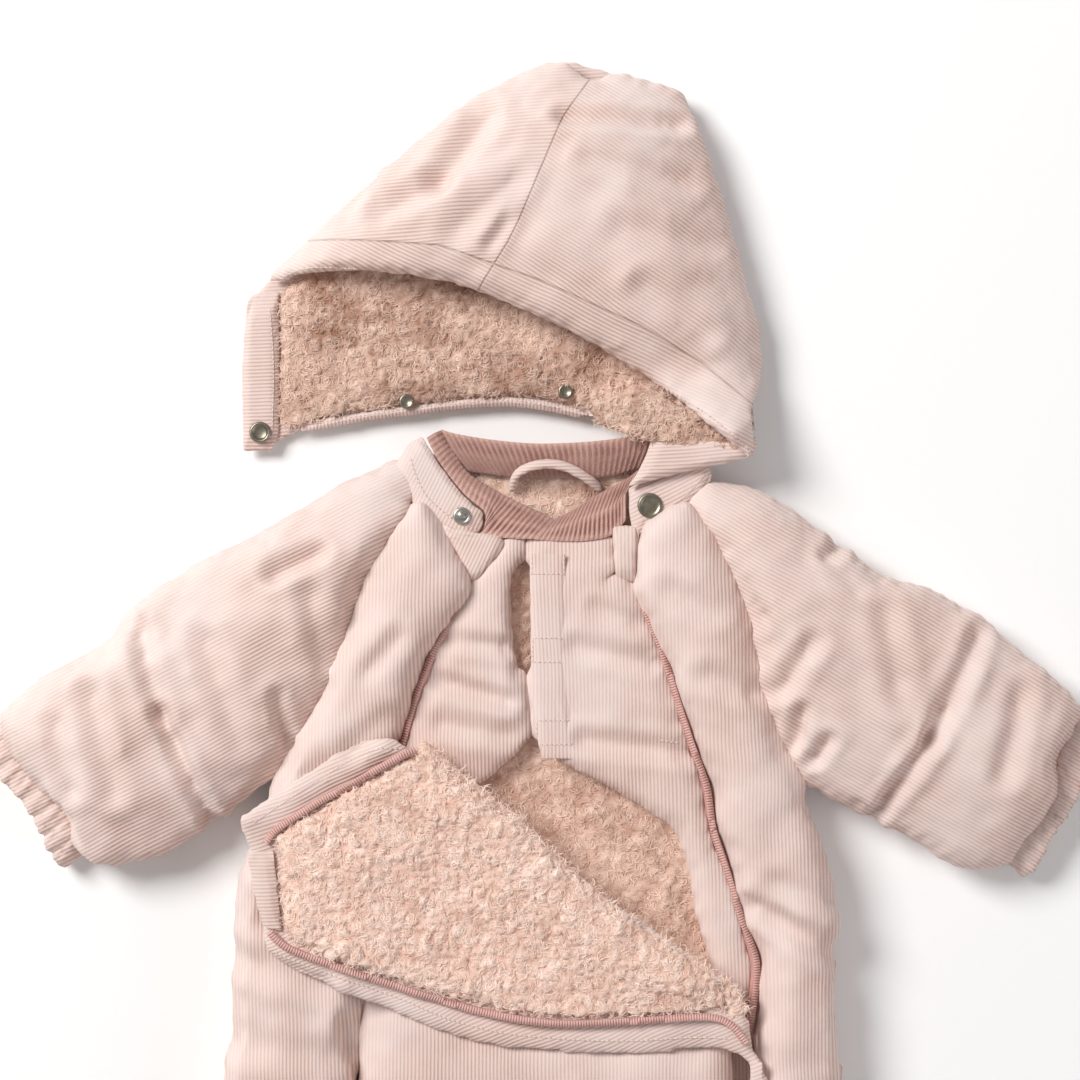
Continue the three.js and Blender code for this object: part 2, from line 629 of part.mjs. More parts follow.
add('panel_lining', slab(
  one(patch({
    low: TURNED.pileUpper,
    high: TURNED.pileLower,
    start: TURNED.pileNeck,
    end: TURNED.pileFold,
  }), steps(14, 0.3), steps(7, 0.5)),
  (x, y, away) => shellTop(x, y) + mix(3, TURNED_PILE, rolled(away, 9)),
  onShell,
), 'pile');
add('panel_facing', slab(
  one(patch({
    start: [[-173.5, -187], [-170, -206], [-164, -229]],
    end: [[-158.5, -184], [-156, -205], [-153, -231.5]],
    low: [[-173.5, -187], [-166, -185], [-158.5, -184]],
    high: [[-164, -229], [-158, -230.5], [-153, -231.5]],
  }), steps(3, 0), steps(6, 0)),
  (x, y, away) => onShell(x, y) + mix(0.8, 2.2, clamp(away / 2)),
  onShell,
), 'cord');
ribbon('zip_panel_right', TURNED.zipUpper, ZIP_WIDTH - 1, onShell, 2.4, 10);
ribbon('zip_panel_left', TURNED.zipLower, ZIP_WIDTH - 1, onShell, 2.4, 22);

// Tubes: a ring of points at each step along, its outside swollen and its hollow a flat slit
function tube(name, { at, along, around, outside, hollow, finish }) {
  const half = around.length - 1;
  const loop = [...around.map((v) => [v, 1]), ...around.slice(1, half).reverse().map((v) => [v, -1])];
  const positions = [];
  for (const skin of [outside, hollow]) {
    for (const u of along) {
      for (const [v, side] of loop) positions.push(skin(u, v, side, at));
    }
  }
  const count = loop.length;
  const index = (skin, j, i) => (skin * along.length + j) * count + (i % count);
  const triangles = [];
  const quad = (a, b, c, d) => triangles.push([a, b, c], [a, c, d]);
  for (let i = 0; i < count; i += 1) {
    for (let j = 1; j < along.length; j += 1) {
      quad(index(0, j - 1, i), index(0, j - 1, i + 1), index(0, j, i + 1), index(0, j, i));
      quad(index(1, j - 1, i), index(1, j, i), index(1, j, i + 1), index(1, j - 1, i + 1));
    }
    const end = along.length - 1;
    quad(index(0, 0, i), index(1, 0, i), index(1, 0, i + 1), index(0, 0, i + 1));
    quad(index(0, end, i), index(0, end, i + 1), index(1, end, i + 1), index(1, end, i));
  }
  const volume = triangles.reduce((sum, [a, b, c]) => sum + new THREE.Vector3(...positions[a])
    .dot(new THREE.Vector3(...positions[b]).cross(new THREE.Vector3(...positions[c]))), 0);
  if (volume < 0) triangles.forEach((triangle) => triangle.reverse());
  add(name, solid(positions, triangles), finish);
}

const SLIT_EDGE = 0.06;
function slitPoint(u, v, side, at, middle, thick) {
  const inV = mix(SLIT_EDGE, 1 - SLIT_EDGE, v);
  const [x, y] = at(u, inV);
  return [x, y, middle + side * thick / 2 * Math.max(0.2, Math.sin(Math.PI * v) ** 0.3)];
}
const lens = (v, power) => (1 - Math.abs(2 * v - 1) ** power) ** (1 / power);

// The raglan edge turns at the body's levels, and its marks put the ring's points there
function raglanEdge(side, outward) {
  const [start, end] = side === 'right' ? [52, -134] : [38, -151];
  const heights = [start, ...BODY_LEVELS.filter((y) => y < start - 2 && y > end + 4), end];
  const points = heights.map((y) => new THREE.Vector2(
    seamAt(`${side}Side`, y) + outward * (y > end ? GAP : GAP + 0.4),
    y,
  ));
  const path = new THREE.CurvePath();
  points.slice(1).forEach((point, i) => path.add(new THREE.LineCurve(points[i], point)));
  const lengths = path.getCurveLengths();
  const whole = lengths[lengths.length - 1];
  const marks = [0, ...lengths.map((length) => length / whole)];
  const ends = [marks[1] * 0.15, marks[1] * 0.5, mix(1, marks[marks.length - 2], 0.5),
    mix(1, marks[marks.length - 2], 0.15)];
  return { path: { getPointAt: (t) => path.getPoint(t) }, marks: [...marks, ...ends].sort((p, q) => p - q), points };
}

function sleeve(side) {
  const { upper, lower, hem } = SLEEVES[side];
  const { path, marks, points } = raglanEdge(side, side === 'right' ? -1 : 1);
  const [first, last] = [points[0], points[points.length - 1]];
  const at = patch({
    low: [[first.x, first.y], ...upper.slice(1)],
    high: [[last.x, last.y], ...lower.slice(1)],
    start: path,
    end: hem,
  });
  const raglanLine = points.map((p) => [p.x, p.y]);
  const hemLine = sampled(hem, 30);
  tube(`sleeve_${side}`, {
    at,
    along: [0, 0.03, 0.09, 0.19, 0.31, 0.44, 0.58, 0.72, 0.85, 0.95, 1],
    around: marks,
    outside: (u, v, top) => {
      const [x, y] = at(u, v);
      if (top < 0) return [x, y, SLEEVE_SEAM * (1 - lens(v, 7))];
      const full = mix(SLEEVE_PUFF, SLEEVE_PUFF - 9, u);
      const atSeam = mix(35, full, rolled(toLine(x, y, raglanLine), 20));
      const high = Math.min(atSeam, mix(27, full, rolled(toLine(x, y, hemLine), 22)));
      const body = mix(SLEEVE_SEAM, high, lens(v, 2.3)) - creased(x, y) * lens(v, 2.3);
      return [x, y, Math.max(body, v === 0 || v === 1 ? SLEEVE_SEAM : SLEEVE_SEAM + 1.4)];
    },
    hollow: (u, v, top) => slitPoint(u, v, top, at, SLEEVE_SEAM - 1.6, SLIT),
    finish: 'cord',
  });
}

// Elastic cuffs: short tubes whose wall waves in and out with the gathers
function cuff(name, { at, gathers, high, seam }) {
  const around = Array.from({ length: 2 * gathers + 1 }, (_, i) => i / (2 * gathers));
  const wave = (v) => (Math.round(v * 2 * gathers) % 2 ? 1 : -1);
  tube(name, {
    at,
    along: [0, 0.45, 1],
    around,
    outside: (u, v, top) => {
      const [x, y] = at(u * (1 - 0.05 * (1 - wave(v)) * u), v);
      const body = lens(v, 2.6);
      const gather = wave(v) * 1.5 * mix(0.5, 1, u);
      if (top < 0) return [x, y, Math.max(0.4, seam - (seam - 2) * body + gather * 0.8)];
      return [x, y, seam + (high - seam) * body + gather * body];
    },
    hollow: (u, v, top) => slitPoint(u, v, top, at, seam + 0.4, SLIT),
    finish: 'cord',
  });
}
const CUFF_CLEAR = 1.8;
for (const side of ['right', 'left']) {
  sleeve(side);
  const { hem, cuffEdge } = SLEEVES[side];
  const sign = side === 'right' ? -1 : 1;
  const [first, last] = [hem[0], hem[hem.length - 1]];
  const long = Math.hypot(last[0] - first[0], last[1] - first[1]);
  const off = [(first[1] - last[1]) / long * sign, -Math.abs(last[0] - first[0]) / long]
    .map((part) => part * CUFF_CLEAR);
  const hemCurve = curve(hem);
  const inner = Array.from({ length: 13 }, (_, i) => {
    const { x, y } = hemCurve.getPointAt(mix(0.04, 0.95, i / 12));
    return [x + off[0], y + off[1]];
  });
  cuff(`cuff_${side}`, {
    at: patch({
      start: inner,
      end: cuffEdge,
      low: [inner[0], cuffEdge[0]],
      high: [inner[inner.length - 1], cuffEdge[cuffEdge.length - 1]],
    }),
    gathers: 8,
    high: 25,
    seam: 12,
  });
}
const ANKLES = {
  right: { from: lineAt('rightSide', HEM_Y) + 5, to: lineAt('rightInnerLeg', HEM_Y) - 5 },
  left: { from: lineAt('leftInnerLeg', HEM_Y) + 5, to: lineAt('leftSide', HEM_Y) - 5 },
};
const ANKLE_BAND = 20;
for (const [side, { from, to }] of Object.entries(ANKLES)) {
  cuff(`ankle_cuff_${side}`, {
    at: (u, v) => [
      mix(from, to, v) + 2 * u * (1 - 2 * v),
      HEM_Y - GAP - u * ANKLE_BAND,
    ],
    gathers: 9,
    high: 27,
    seam: 13,
  });
}

// Knitted inner collar: its ribs are raised across the band, over a plain underside
function ribBand(name, shape, ribs, base) {
  const columns = Array.from({ length: 2 * ribs + 1 }, (_, i) => i / (2 * ribs));
  const at = patch(shape);
  const crest = new Map();
  const keyOf = (x, y) => `${x.toFixed(2)} ${y.toFixed(2)}`;
  const rows = [0, 0.5, 1];
  rows.forEach((v) => columns.forEach((u, i) => {
    crest.set(keyOf(...at(u, v)), { v, rise: i % 2 ? RIB_RISE : 0 });
  }));
  const place = (x, y) => crest.get(keyOf(x, y));
  add(name, slab(
    one(at, columns, rows),
    (x, y) => {
      const { v, rise } = place(x, y);
      return base(v) + mix(RIB_WALL * 0.7, RIB_WALL, Math.sin(Math.PI * v)) + rise;
    },
    (x, y) => base(place(x, y).v),
  ), 'rib');
}
const RIBS = {
  rib_back: {
    low: [[-56.2, 66.5], [-46, 63.5], [-25, 60], [-1, 58], [27, 59], [47, 61.5], [64, 64.5]],
    high: [[-41, 41.5], [-16, 38], [10, 37.5], [37, 38], [58, 43.6]],
    start: [[-56.2, 66.5], [-49.2, 53], [-41, 41.5]],
    end: [[64, 64.5], [62, 54], [58, 43.6]],
  },
  rib_front_right: {
    low: [[-66.5, 61.5], [-59, 46.5], [-45, 27.6], [-33.6, 17], [-33.6, 8], [-35, 2.6],
      [-17, 0.8], [-2.5, 0.4]],
    high: [[-57, 66.6], [-50, 52], [-41.5, 39.5], [-20, 26], [-2, 17], [7.4, 11.6]],
    start: [[-66.5, 61.5], [-62, 64.5], [-57, 66.6]],
    end: [[-2.5, 0.4], [2, 6], [7.4, 11.6]],
  },
  rib_front_left: {
    low: [[-1.7, 0], [14, -1], [29, -0.6], [42.6, 3], [50.6, 12]],
    high: [[8.2, 11.4], [22, 19], [37, 29], [49.6, 36], [58.2, 42.8]],
    start: [[-1.7, 0], [3, 5.6], [8.2, 11.4]],
    end: [[50.6, 12], [50.6, 22], [50.9, 31], [54.5, 38.5], [58.2, 42.8]],
  },
};
const ribHeights = {
  rib_back: { count: 34, base: (v) => mix(30.5, BACK_WALL + 2, v) },
  rib_front_right: { count: 30, base: (v) => mix(29.5, 25, v) },
  rib_front_left: { count: 20, base: (v) => mix(29.5, 25, v) },
};
for (const [name, shape] of Object.entries(RIBS)) {
  ribBand(name, shape, ribHeights[name].count, ribHeights[name].base);
}

// Corduroy outer collar, a tab at each front end
const STANDS = {
  right: {
    low: [[-82.4, 51.6], [-77.2, 36], [-71.6, 23.9], [-61, 14], [-49.6, 6.6], [-38, 2.4]],
    high: [[-71, 62], [-60.6, 46], [-46.4, 27.2], [-40, 21], [-34.3, 16.6]],
    start: [[-82.4, 51.6], [-79, 57.5], [-71, 62]],
    end: [[-38, 2.4], [-34.4, 9], [-34.3, 16.6]],
  },
  left: {
    low: [[56, 6], [73, 14.2], [87, 23], [94, 30], [103, 39]],
    high: [[53.4, 31], [66, 37.4], [82, 43], [97, 51]],
    start: [[56, 6], [53.6, 18], [53.4, 31]],
    end: [[103, 39], [101, 46], [97, 51]],
  },
};
const STAND_BASE = 29;
const standTop = (x, y, away) => STAND_BASE + mix(2.4, 5.4, rolled(away, 3));
for (const [side, shape] of Object.entries(STANDS)) {
  add(`collar_stand_${side}`, slab(one(patch(shape), steps(7, 0.2), steps(4, 0.5)), standTop,
    (x, y) => (y > 24 ? STAND_BASE - 3 : STAND_BASE)), 'cord');
}

// Hanger loop of flat cord tape over the back of the neck
const LOOP = [[-17, 31, 23], [-14, 40, 31], [0, 45.5, 34.5], [14, 44.5, 34], [27, 38, 30.5],
  [36, 31.5, 23]];
const loopSection = new THREE.Shape();
loopSection.absellipse(0, 0, 1.4, 3.2, 0, 2 * Math.PI);
const loopPath = new THREE.CatmullRomCurve3(LOOP.map((p) => new THREE.Vector3(...p)));
const loopGeometry = new THREE.ExtrudeGeometry(loopSection, {
  steps: 14,
  curveSegments: 3,
  extrudePath: loopPath,
});
['normal', 'uv'].forEach((name) => loopGeometry.deleteAttribute(name));
add('hanger_loop', mergeVertices(loopGeometry, 1e-3), 'cord');

// Hood, lying flat past the neck, still held at the wearer's left collar
const lift = (x, y) => HOOD_LIFT * ease((x - 30) / 40) * ease((104 - y) / 42);
const hoodRim = sampled(HOOD.rim);
const hoodBandSeam = sampled(HOOD.bandSeam);
const hoodCentre = sampled(HOOD.centreSeam);
const hoodOutline = [
  ...sampled(HOOD.backRight), ...sampled(HOOD.backTop).slice(1),
  ...sampled(HOOD.backLeft).reverse().slice(1),
];
const hoodArch = (x, y) => HOOD_ARCH * ease((x + 172) / 90) * ease((118 - x) / 110)
  * ease(1 - toLine(x, y, hoodRim) / 95);
function hoodBase(x, y) {
  const fromSide = toLine(x, y, hoodOutline);
  const overLining = mix(HOOD_SHELL, HOOD_PILE, ease((fromSide - 8) / 5));
  return overLining + GAP + hoodArch(x, y) + lift(x, y);
}
function hoodTop(x, y) {
  const full = mix(HOOD_PILE + BAND_WALL, HOOD_PUFF, ease(toLine(x, y, hoodOutline) / 60))
    + lift(x, y) * 0.6;
  const atEdge = mix(HOOD_SHELL + 8 + lift(x, y), full, rolled(toLine(x, y, hoodOutline), 34));
  const atBand = mix(hoodBase(x, y) + 11, full, rolled(toLine(x, y, hoodBandSeam), 16));
  const atCentre = mix(full - 9, full, rolled(toLine(x, y, hoodCentre), 15));
  const swell = Math.min(atEdge, atBand, atCentre, full) - creased(x, y);
  return Math.max(swell, hoodBase(x, y) + 6);
}
add('hood_under', slab(
  one(patch({ low: HOOD.neckEdge, high: HOOD.backTop, start: HOOD.backRight, end: HOOD.backLeft }),
    steps(10, 0.5), steps(8, 0.3)),
  (x, y) => HOOD_SHELL + lift(x, y),
  (x, y, away) => 4 * (1 - rolled(away, 6)) + lift(x, y),
), 'cord');
add('hood_lining', slab(
  one(patch({
    low: [[-158, 68], [-125, 76.5], [-68, 84.5], [-14, 88.5], [30, 80], [67, 73], [112, 70.5]],
    high: [[-156, 150], [-125, 176], [-60, 196], [20, 190], [80, 160], [117, 130]],
    start: [[-158, 68], [-158, 106], [-156, 150]],
    end: [[112, 70.5], [119, 95], [117, 130]],
  }), steps(11, 0.3), steps(7, 0.3)),
  (x, y, away) => mix(HOOD_PILE - 3, HOOD_PILE, rolled(away, 6)) + lift(x, y),
  (x, y) => HOOD_SHELL + GAP + lift(x, y),
), 'pile');
add('hood_neck_facing', slab(
  one(patch({
    low: [[-145, 66], [-125, 69], [-103, 73], [-68, 77], [-48, 80], [-14, 81], [17, 76], [30, 72],
      [52, 67.6], [67, 64]],
    high: [[-145, 72], [-125, 75], [-68, 83], [-14, 87], [30, 78.4], [67, 71.6]],
    start: [[-145, 66], [-145, 69], [-145, 72]],
    end: [[67, 64], [67, 68], [67, 71.6]],
  }), steps(12, 0), steps(2, 0)),
  (x, y, away) => HOOD_SHELL + GAP + mix(1.4, 4, clamp(away / 2.5)) + lift(x, y),
  (x, y) => HOOD_SHELL + GAP + lift(x, y),
), 'cord');
add('hood_end_right', slab(
  one(patch({
    low: [[-180.5, 54.6], [-172, 54.4], [-163.4, 54.6]],
    high: [[-178.2, 143], [-170, 146.5], [-160, 146]],
    start: [[-180.5, 54.6], [-181, 106], [-178.2, 143]],
    end: [[-163.4, 54.6], [-159.4, 66], [-159, 106], [-160, 146]],
  }), steps(4, 0.3), steps(9, 0)),
  (x, y, away) => HOOD_SHELL + GAP + mix(1.2, 4, clamp(away / 3)),
  () => HOOD_SHELL + GAP,
), 'cord');
const END_LEFT = {
  low: [[52.5, 32], [58, 33], [88, 41], [114, 46.5], [127.5, 50.6]],
  high: [[68, 62.6], [84, 61.6], [100, 61.4], [130, 61.4]],
  start: [[52.5, 32], [60, 43], [68, 62.6]],
  end: [[127.5, 50.6], [129, 56], [130, 61.4]],
};
add('hood_end_left', slab(
  one(patch(END_LEFT), steps(8, 0.2), steps(4, 0.3)),
  (x, y, away) => Math.max(lift(x, y), HOOD_LIFT) + mix(4, 7, clamp(away / 3)),
  (x, y) => Math.max(lift(x, y), HOOD_LIFT) + HALF_GAP,
), 'cord');
add('hood_band', slab(
  one(patch({ low: HOOD.rim, high: HOOD.bandSeam, start: HOOD.bandRight, end: HOOD.bandLeft }),
    steps(15, 0.3), steps(4, 0.6)),
  (x, y, away) => hoodBase(x, y) + mix(4, BAND_WALL, rolled(Math.min(away,
    toLine(x, y, hoodRim) + 1.5), 9)),
  hoodBase,
), 'cord');
const aboveBand = (points, up) => points.map(([x, y]) => [x + up * 0.25, y + up]);
const bandFoot = aboveBand(sampled(HOOD.bandSeam, 30), 2 * GAP);
const footAt = (from, to) => bandFoot.filter(([x]) => x > from && x < to);
const [footX, footY] = HOOD.seamFoot;
const rightFoot = [HOOD.rightSide[0], ...footAt(-140, footX - 3), [footX - 0.2, footY]];
const leftFoot = [[footX + 0.2, footY], ...footAt(footX + 3, 128), HOOD.leftSide[0]];
const shifted = (points, dx) => points.map(([x, y]) => [x + dx, y]);
add('hood_panel_right', slab(
  one(patch({
    low: rightFoot,
    high: [...HOOD.peak.slice(0, -1), [30.8, 279]],
    start: HOOD.rightSide,
    end: [...shifted(HOOD.centreSeam, -0.2)],
  }), steps(8, 0.6), steps(9, 0.5)),
  hoodTop,
  hoodBase,
), 'cord');
add('hood_panel_left', slab(
  one(patch({
    low: leftFoot,
    high: [[31.2, 279], ...HOOD.leftTop.slice(1)],
    start: shifted(HOOD.centreSeam, 0.2),
    end: HOOD.leftSide,
  }), steps(9, 0.6), steps(9, 0.5)),
  hoodTop,
  hoodBase,
), 'cord');

// Ring snaps: a turned disc whose profile starts and ends on its axis
function snap(name, { x, y, z, across, tall, finish, raised }) {
  const r = across / 2;
  const profile = [[0, 0], [r, 0], [r * 0.9, tall], [r * 0.6, tall], [r * 0.5, tall * 0.55],
    [r * 0.3, raised], [0, raised]];
  const disc = new THREE.LatheGeometry(profile.map(([a, b]) => new THREE.Vector2(a, b)), 14);
  ['normal', 'uv'].forEach((attribute) => disc.deleteAttribute(attribute));
  const mesh = add(name, mergeVertices(disc, 1e-3), finish);
  mesh.rotation.x = Math.PI / 2;
  mesh.position.set(x, y, z);
}
const STAND_TOP = STAND_BASE + 5.4 + GAP;
const END_TOP = HOOD_SHELL + GAP + 4 + GAP;
snap('snap_stud', { x: -46.8, y: 14.4, z: STAND_TOP, across: SNAP_STUD, tall: 1.6, finish: 'silver',
  raised: 2.6 });
snap('snap_cap', { x: 66, y: 20.7, z: STAND_TOP, across: SNAP_CAP, tall: 1.8, finish: 'brass',
  raised: 1.3 });
snap('snap_socket', { x: -170, y: 65.4, z: END_TOP, across: SNAP_SOCKET, tall: 1.8, finish: 'brass',
  raised: 0.8 });
snap('snap_hood_1', { x: -81, y: 84, z: HOOD_PILE - SNAP_SUNK, across: SNAP_SMALL, tall: 1.5,
  finish: 'silver', raised: 1 });
snap('snap_hood_2', { x: 15.5, y: 90, z: HOOD_PILE + GAP, across: SNAP_SMALL, tall: 1.5,
  finish: 'silver', raised: 1 });

// Where one piece drapes over another, the upper one is cut to lie a gap above the lower
function solidOf(mesh) {
  const geometry = mergeVertices(mesh.geometry, 1e-3);
  return new wasm.Manifold(new wasm.Mesh({
    numProp: 3,
    vertProperties: new Float32Array(geometry.attributes.position.array),
    triVerts: new Uint32Array(geometry.index.array),
  }));
}
const UP = [0, 0, GAP];
const TO_RIGHT_SLEEVE = [-GAP, 0, 0];
const TO_LEFT_SLEEVE = [GAP, 0, 0];
const DRAPED = [
  ['sleeve_right', ['back_panel', 'front_side_right'], TO_RIGHT_SLEEVE],
  ['sleeve_left', ['back_panel', 'front_side_left'], TO_LEFT_SLEEVE],
  ['panel_turned', ['front_side_right', 'centre_panel', 'storm_flap_right', 'front_side_left']],
  ['panel_lining', ['panel_turned']],
  ['panel_facing', ['panel_turned']],
  ['zip_panel_right', ['panel_turned', 'panel_lining']],
  ['zip_panel_left', ['panel_turned', 'panel_lining']],
  ['placket', ['storm_flap_left']],
  ['hood_lining', ['hood_under']],
  ['hood_neck_facing', ['hood_under', 'hood_lining']],
  ['hood_end_left', ['hood_under']],
  ['hood_band', ['hood_under', 'hood_lining', 'hood_end_left', 'hood_end_right']],
  ['hood_panel_right', ['hood_under', 'hood_lining']],
  ['hood_panel_left', ['hood_under', 'hood_lining']],
];
const CUT_FROM = 0.001;
const named = (name) => suit.children.find((mesh) => mesh.name === name);
for (const [upper, lower, shift = UP] of DRAPED) {
  const piece = named(upper);
  let cut = solidOf(piece);
  for (const name of lower) {
    const below = solidOf(named(name));
    const clear = below.translate(shift);
    if (cut.intersect(clear).volume() > CUT_FROM) cut = cut.subtract(clear).subtract(below);
  }
  const [largest] = cut.decompose().sort((a, b) => b.volume() - a.volume());
  const { vertProperties, triVerts, numProp } = largest.getMesh();
  const geometry = new THREE.BufferGeometry();
  const places = Array.from({ length: vertProperties.length / numProp }, (_, i) => Array.from(
    vertProperties.slice(i * numProp, i * numProp + 3),
  ));
  geometry.setAttribute('position', new THREE.Float32BufferAttribute(places.flat(), 3));
  geometry.setIndex(Array.from(triVerts));
  piece.geometry = geometry;
}

suit.children.forEach((mesh) => {
  mesh.position.x -= SUIT_MIDDLE.x;
  mesh.position.y -= SUIT_MIDDLE.y;
});

export default suit;
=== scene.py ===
# %% [markdown]
# # A padded corduroy baby snowsuit, laid flat
# The suit lies on its back, its hood unsnapped at one side and its big front panel turned down,
# so the curly lining shows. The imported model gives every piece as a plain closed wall. This
# lesson turns those walls into padded cloth, curly pile, knitted rib, zips, stitches and snaps.

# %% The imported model
import json
import math
import bpy
import numpy as np
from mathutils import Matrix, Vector
from mathutils.bvhtree import BVHTree
from mathutils.kdtree import KDTree

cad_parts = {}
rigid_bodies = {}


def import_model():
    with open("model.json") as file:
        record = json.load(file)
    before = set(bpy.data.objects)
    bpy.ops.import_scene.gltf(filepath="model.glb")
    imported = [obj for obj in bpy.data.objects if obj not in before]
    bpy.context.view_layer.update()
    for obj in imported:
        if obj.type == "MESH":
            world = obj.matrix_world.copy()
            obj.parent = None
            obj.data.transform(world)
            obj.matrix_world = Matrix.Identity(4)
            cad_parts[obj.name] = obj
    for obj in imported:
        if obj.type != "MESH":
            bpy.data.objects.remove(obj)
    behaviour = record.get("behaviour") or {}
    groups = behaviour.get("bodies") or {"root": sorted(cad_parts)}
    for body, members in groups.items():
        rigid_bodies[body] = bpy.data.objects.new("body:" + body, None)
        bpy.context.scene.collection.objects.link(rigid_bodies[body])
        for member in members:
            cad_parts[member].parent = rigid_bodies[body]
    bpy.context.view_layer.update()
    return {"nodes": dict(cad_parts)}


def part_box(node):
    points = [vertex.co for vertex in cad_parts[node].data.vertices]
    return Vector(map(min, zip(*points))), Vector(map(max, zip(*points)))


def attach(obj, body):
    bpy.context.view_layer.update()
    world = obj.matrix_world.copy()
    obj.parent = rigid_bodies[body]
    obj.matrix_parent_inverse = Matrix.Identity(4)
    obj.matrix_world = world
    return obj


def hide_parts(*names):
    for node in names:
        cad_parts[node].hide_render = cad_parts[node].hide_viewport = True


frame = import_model()
MM = 0.001
SHIFT = (-2.76, 162.95)      # from the picture's middle to the suit's middle, in millimetres
FLOOR_GAP = 0.0004           # no point of the cloth lies lower, or it would flicker with the floor
DOWN = Vector((0, 0, -1))
UP = Vector((0, 0, 1))
print("pieces in the packed model:", len(frame["nodes"]))


# %% [markdown]
# ## Camera and light
# A flat garment is photographed from a ladder or a boom: the camera looks straight down and a
# long lens keeps the edges square. One picture width is 648 mm of floor here. The light is a
# large softbox at the upper left, so that the wales, which are barely half a millimetre high,
# read as fine lines. A weak one opposite and a pale room fill the shadows. Both stand metres
# away, because a near lamp would light the near sleeve far more than the other.

# %% Camera and light
def at(x, y, z=0.0):
    """A place in the picture's millimetres as a Blender vector in the suit's frame."""
    return Vector(((x + SHIFT[0]) * MM, (y + SHIFT[1]) * MM, z * MM))


PICTURE_WIDTH = 0.648        # metres of floor across the picture
LENS = 100                   # millimetres, as the sensor's width is
SENSOR = 36
CLOTH_HEIGHT = 0.035         # the scale is true at this height, about that of the padding
ROOM_LIGHT = 0.325

camera_data = bpy.data.cameras.new("camera")
camera_data.lens = LENS
camera_data.sensor_width = SENSOR
camera = bpy.data.objects.new("camera", camera_data)
bpy.context.collection.objects.link(camera)
camera.location = at(0, 0) + Vector((0, 0, PICTURE_WIDTH * LENS / SENSOR + CLOTH_HEIGHT))
bpy.context.scene.camera = camera


def softbox(name, place, size, power, colour):
    """A round lamp that looks at the middle of the picture."""
    light = bpy.data.lights.new(name, "AREA")
    light.shape = "DISK"
    light.size = size
    light.energy = power
    light.color = colour
    lamp = bpy.data.objects.new(name, light)
    lamp.location = place
    lamp.rotation_euler = (at(0, 0) - Vector(place)).to_track_quat("-Z", "Y").to_euler()
    bpy.context.collection.objects.link(lamp)


softbox("key_light", (-2.4, 1.9, 2.95), size=1.9, power=166, colour=(1.0, 0.985, 0.97))
softbox("fill_light", (3.4, -1.4, 1.8), size=2.8, power=42, colour=(0.98, 0.98, 1.0))
world = bpy.data.worlds.new("room")
bpy.context.scene.world = world
world.use_nodes = True
room = world.node_tree.nodes["Background"]
room.inputs["Color"].default_value = (1.0, 1.0, 1.0, 1)
room.inputs["Strength"].default_value = ROOM_LIGHT
bpy.context.scene.view_settings.view_transform = "Standard"


# %% [markdown]
# ## Writing shaders as sums
# A shader is arithmetic on a few patterns. Wiring Math nodes by hand hides the formula, so a
# small class wraps a socket and lets Python's + - * / add the nodes. Anything else, such as a
# noise or a colour mix, comes from one method that takes the node's type and its socket values.

# %% A socket that can be added up
class Socket:
    """An output of a shader node; arithmetic on it adds Math nodes."""

    def __init__(self, tree, out):
        self.tree = tree
        self.out = out

    def math(self, operation, *values):
        node = self.tree.nodes.new("ShaderNodeMath")
        node.operation = operation
        for socket, value in zip(node.inputs, values):
            if isinstance(value, Socket):
                self.tree.links.new(value.out, socket)
            else:
                socket.default_value = value
        return Socket(self.tree, node.outputs[0])

    def __add__(self, other):
        return self.math("ADD", self, other)

    def __sub__(self, other):
        return self.math("SUBTRACT", self, other)

    def __rsub__(self, other):
        return self.math("SUBTRACT", other, self)

    def __mul__(self, other):
        return self.math("MULTIPLY", self, other)

    def __truediv__(self, other):
        return self.math("DIVIDE", self, other)

    def __pow__(self, other):
        return self.math("POWER", self, other)

    def sine(self):
        return self.math("SINE", self)

    def clamped(self):
        return self.math("MINIMUM", self.math("MAXIMUM", self, 0.0), 1.0)


class Finish:
    """A material being written: nodes by type, colours by hex, one Principled shader."""

    def __init__(self, name):
        self.material = bpy.data.materials.new(name)
        self.material.use_nodes = True
        self.tree = self.material.node_tree
        self.shader = self.tree.nodes["Principled BSDF"]

    def node(self, kind, settings=None, values=None, output=0):
        node = self.tree.nodes.new(kind)
        for key, value in (settings or {}).items():
            setattr(node, key, value)
        for key, value in (values or {}).items():
            if isinstance(value, Socket):
                self.tree.links.new(value.out, node.inputs[key])
            else:
                node.inputs[key].default_value = value
        return Socket(self.tree, node.outputs[output])

    def place(self):
        return self.node("ShaderNodeTexCoord", output="Object")

    def noise(self, where, scale, detail=2.0, rough=0.5):
        """Soft noise around 0.5 with about scale bumps a metre."""
        values = {"Vector": where, "Scale": scale, "Detail": detail, "Roughness": rough}
        return self.node("ShaderNodeTexNoise", values=values)

    def mixed(self, share, first, second):
        """The first colour where share is 0, the second where it is 1."""
        values = {0: share, 6: first, 7: second}        # a Mix node's sockets for colours
        return self.node("ShaderNodeMix", {"data_type": "RGBA"}, values, output=2)

    def attribute(self, name):
        return self.node("ShaderNodeAttribute", {"attribute_name": name}, output="Fac")

    def surface(self, colour, height=None, depth=0.0005, strength=1.0, **constants):
        """Links the colour and the bump; every other shader input is a constant."""
        link = self.tree.links.new
        link(colour.out, self.shader.inputs["Base Color"])
        for key, value in constants.items():
            self.shader.inputs[key.replace("_", " ")].default_value = value
        if height is not None:
            values = {"Height": height, "Distance": depth, "Strength": strength}
            bump = self.node("ShaderNodeBump", values=values)
            link(bump.out, self.shader.inputs["Normal"])
        return self.material


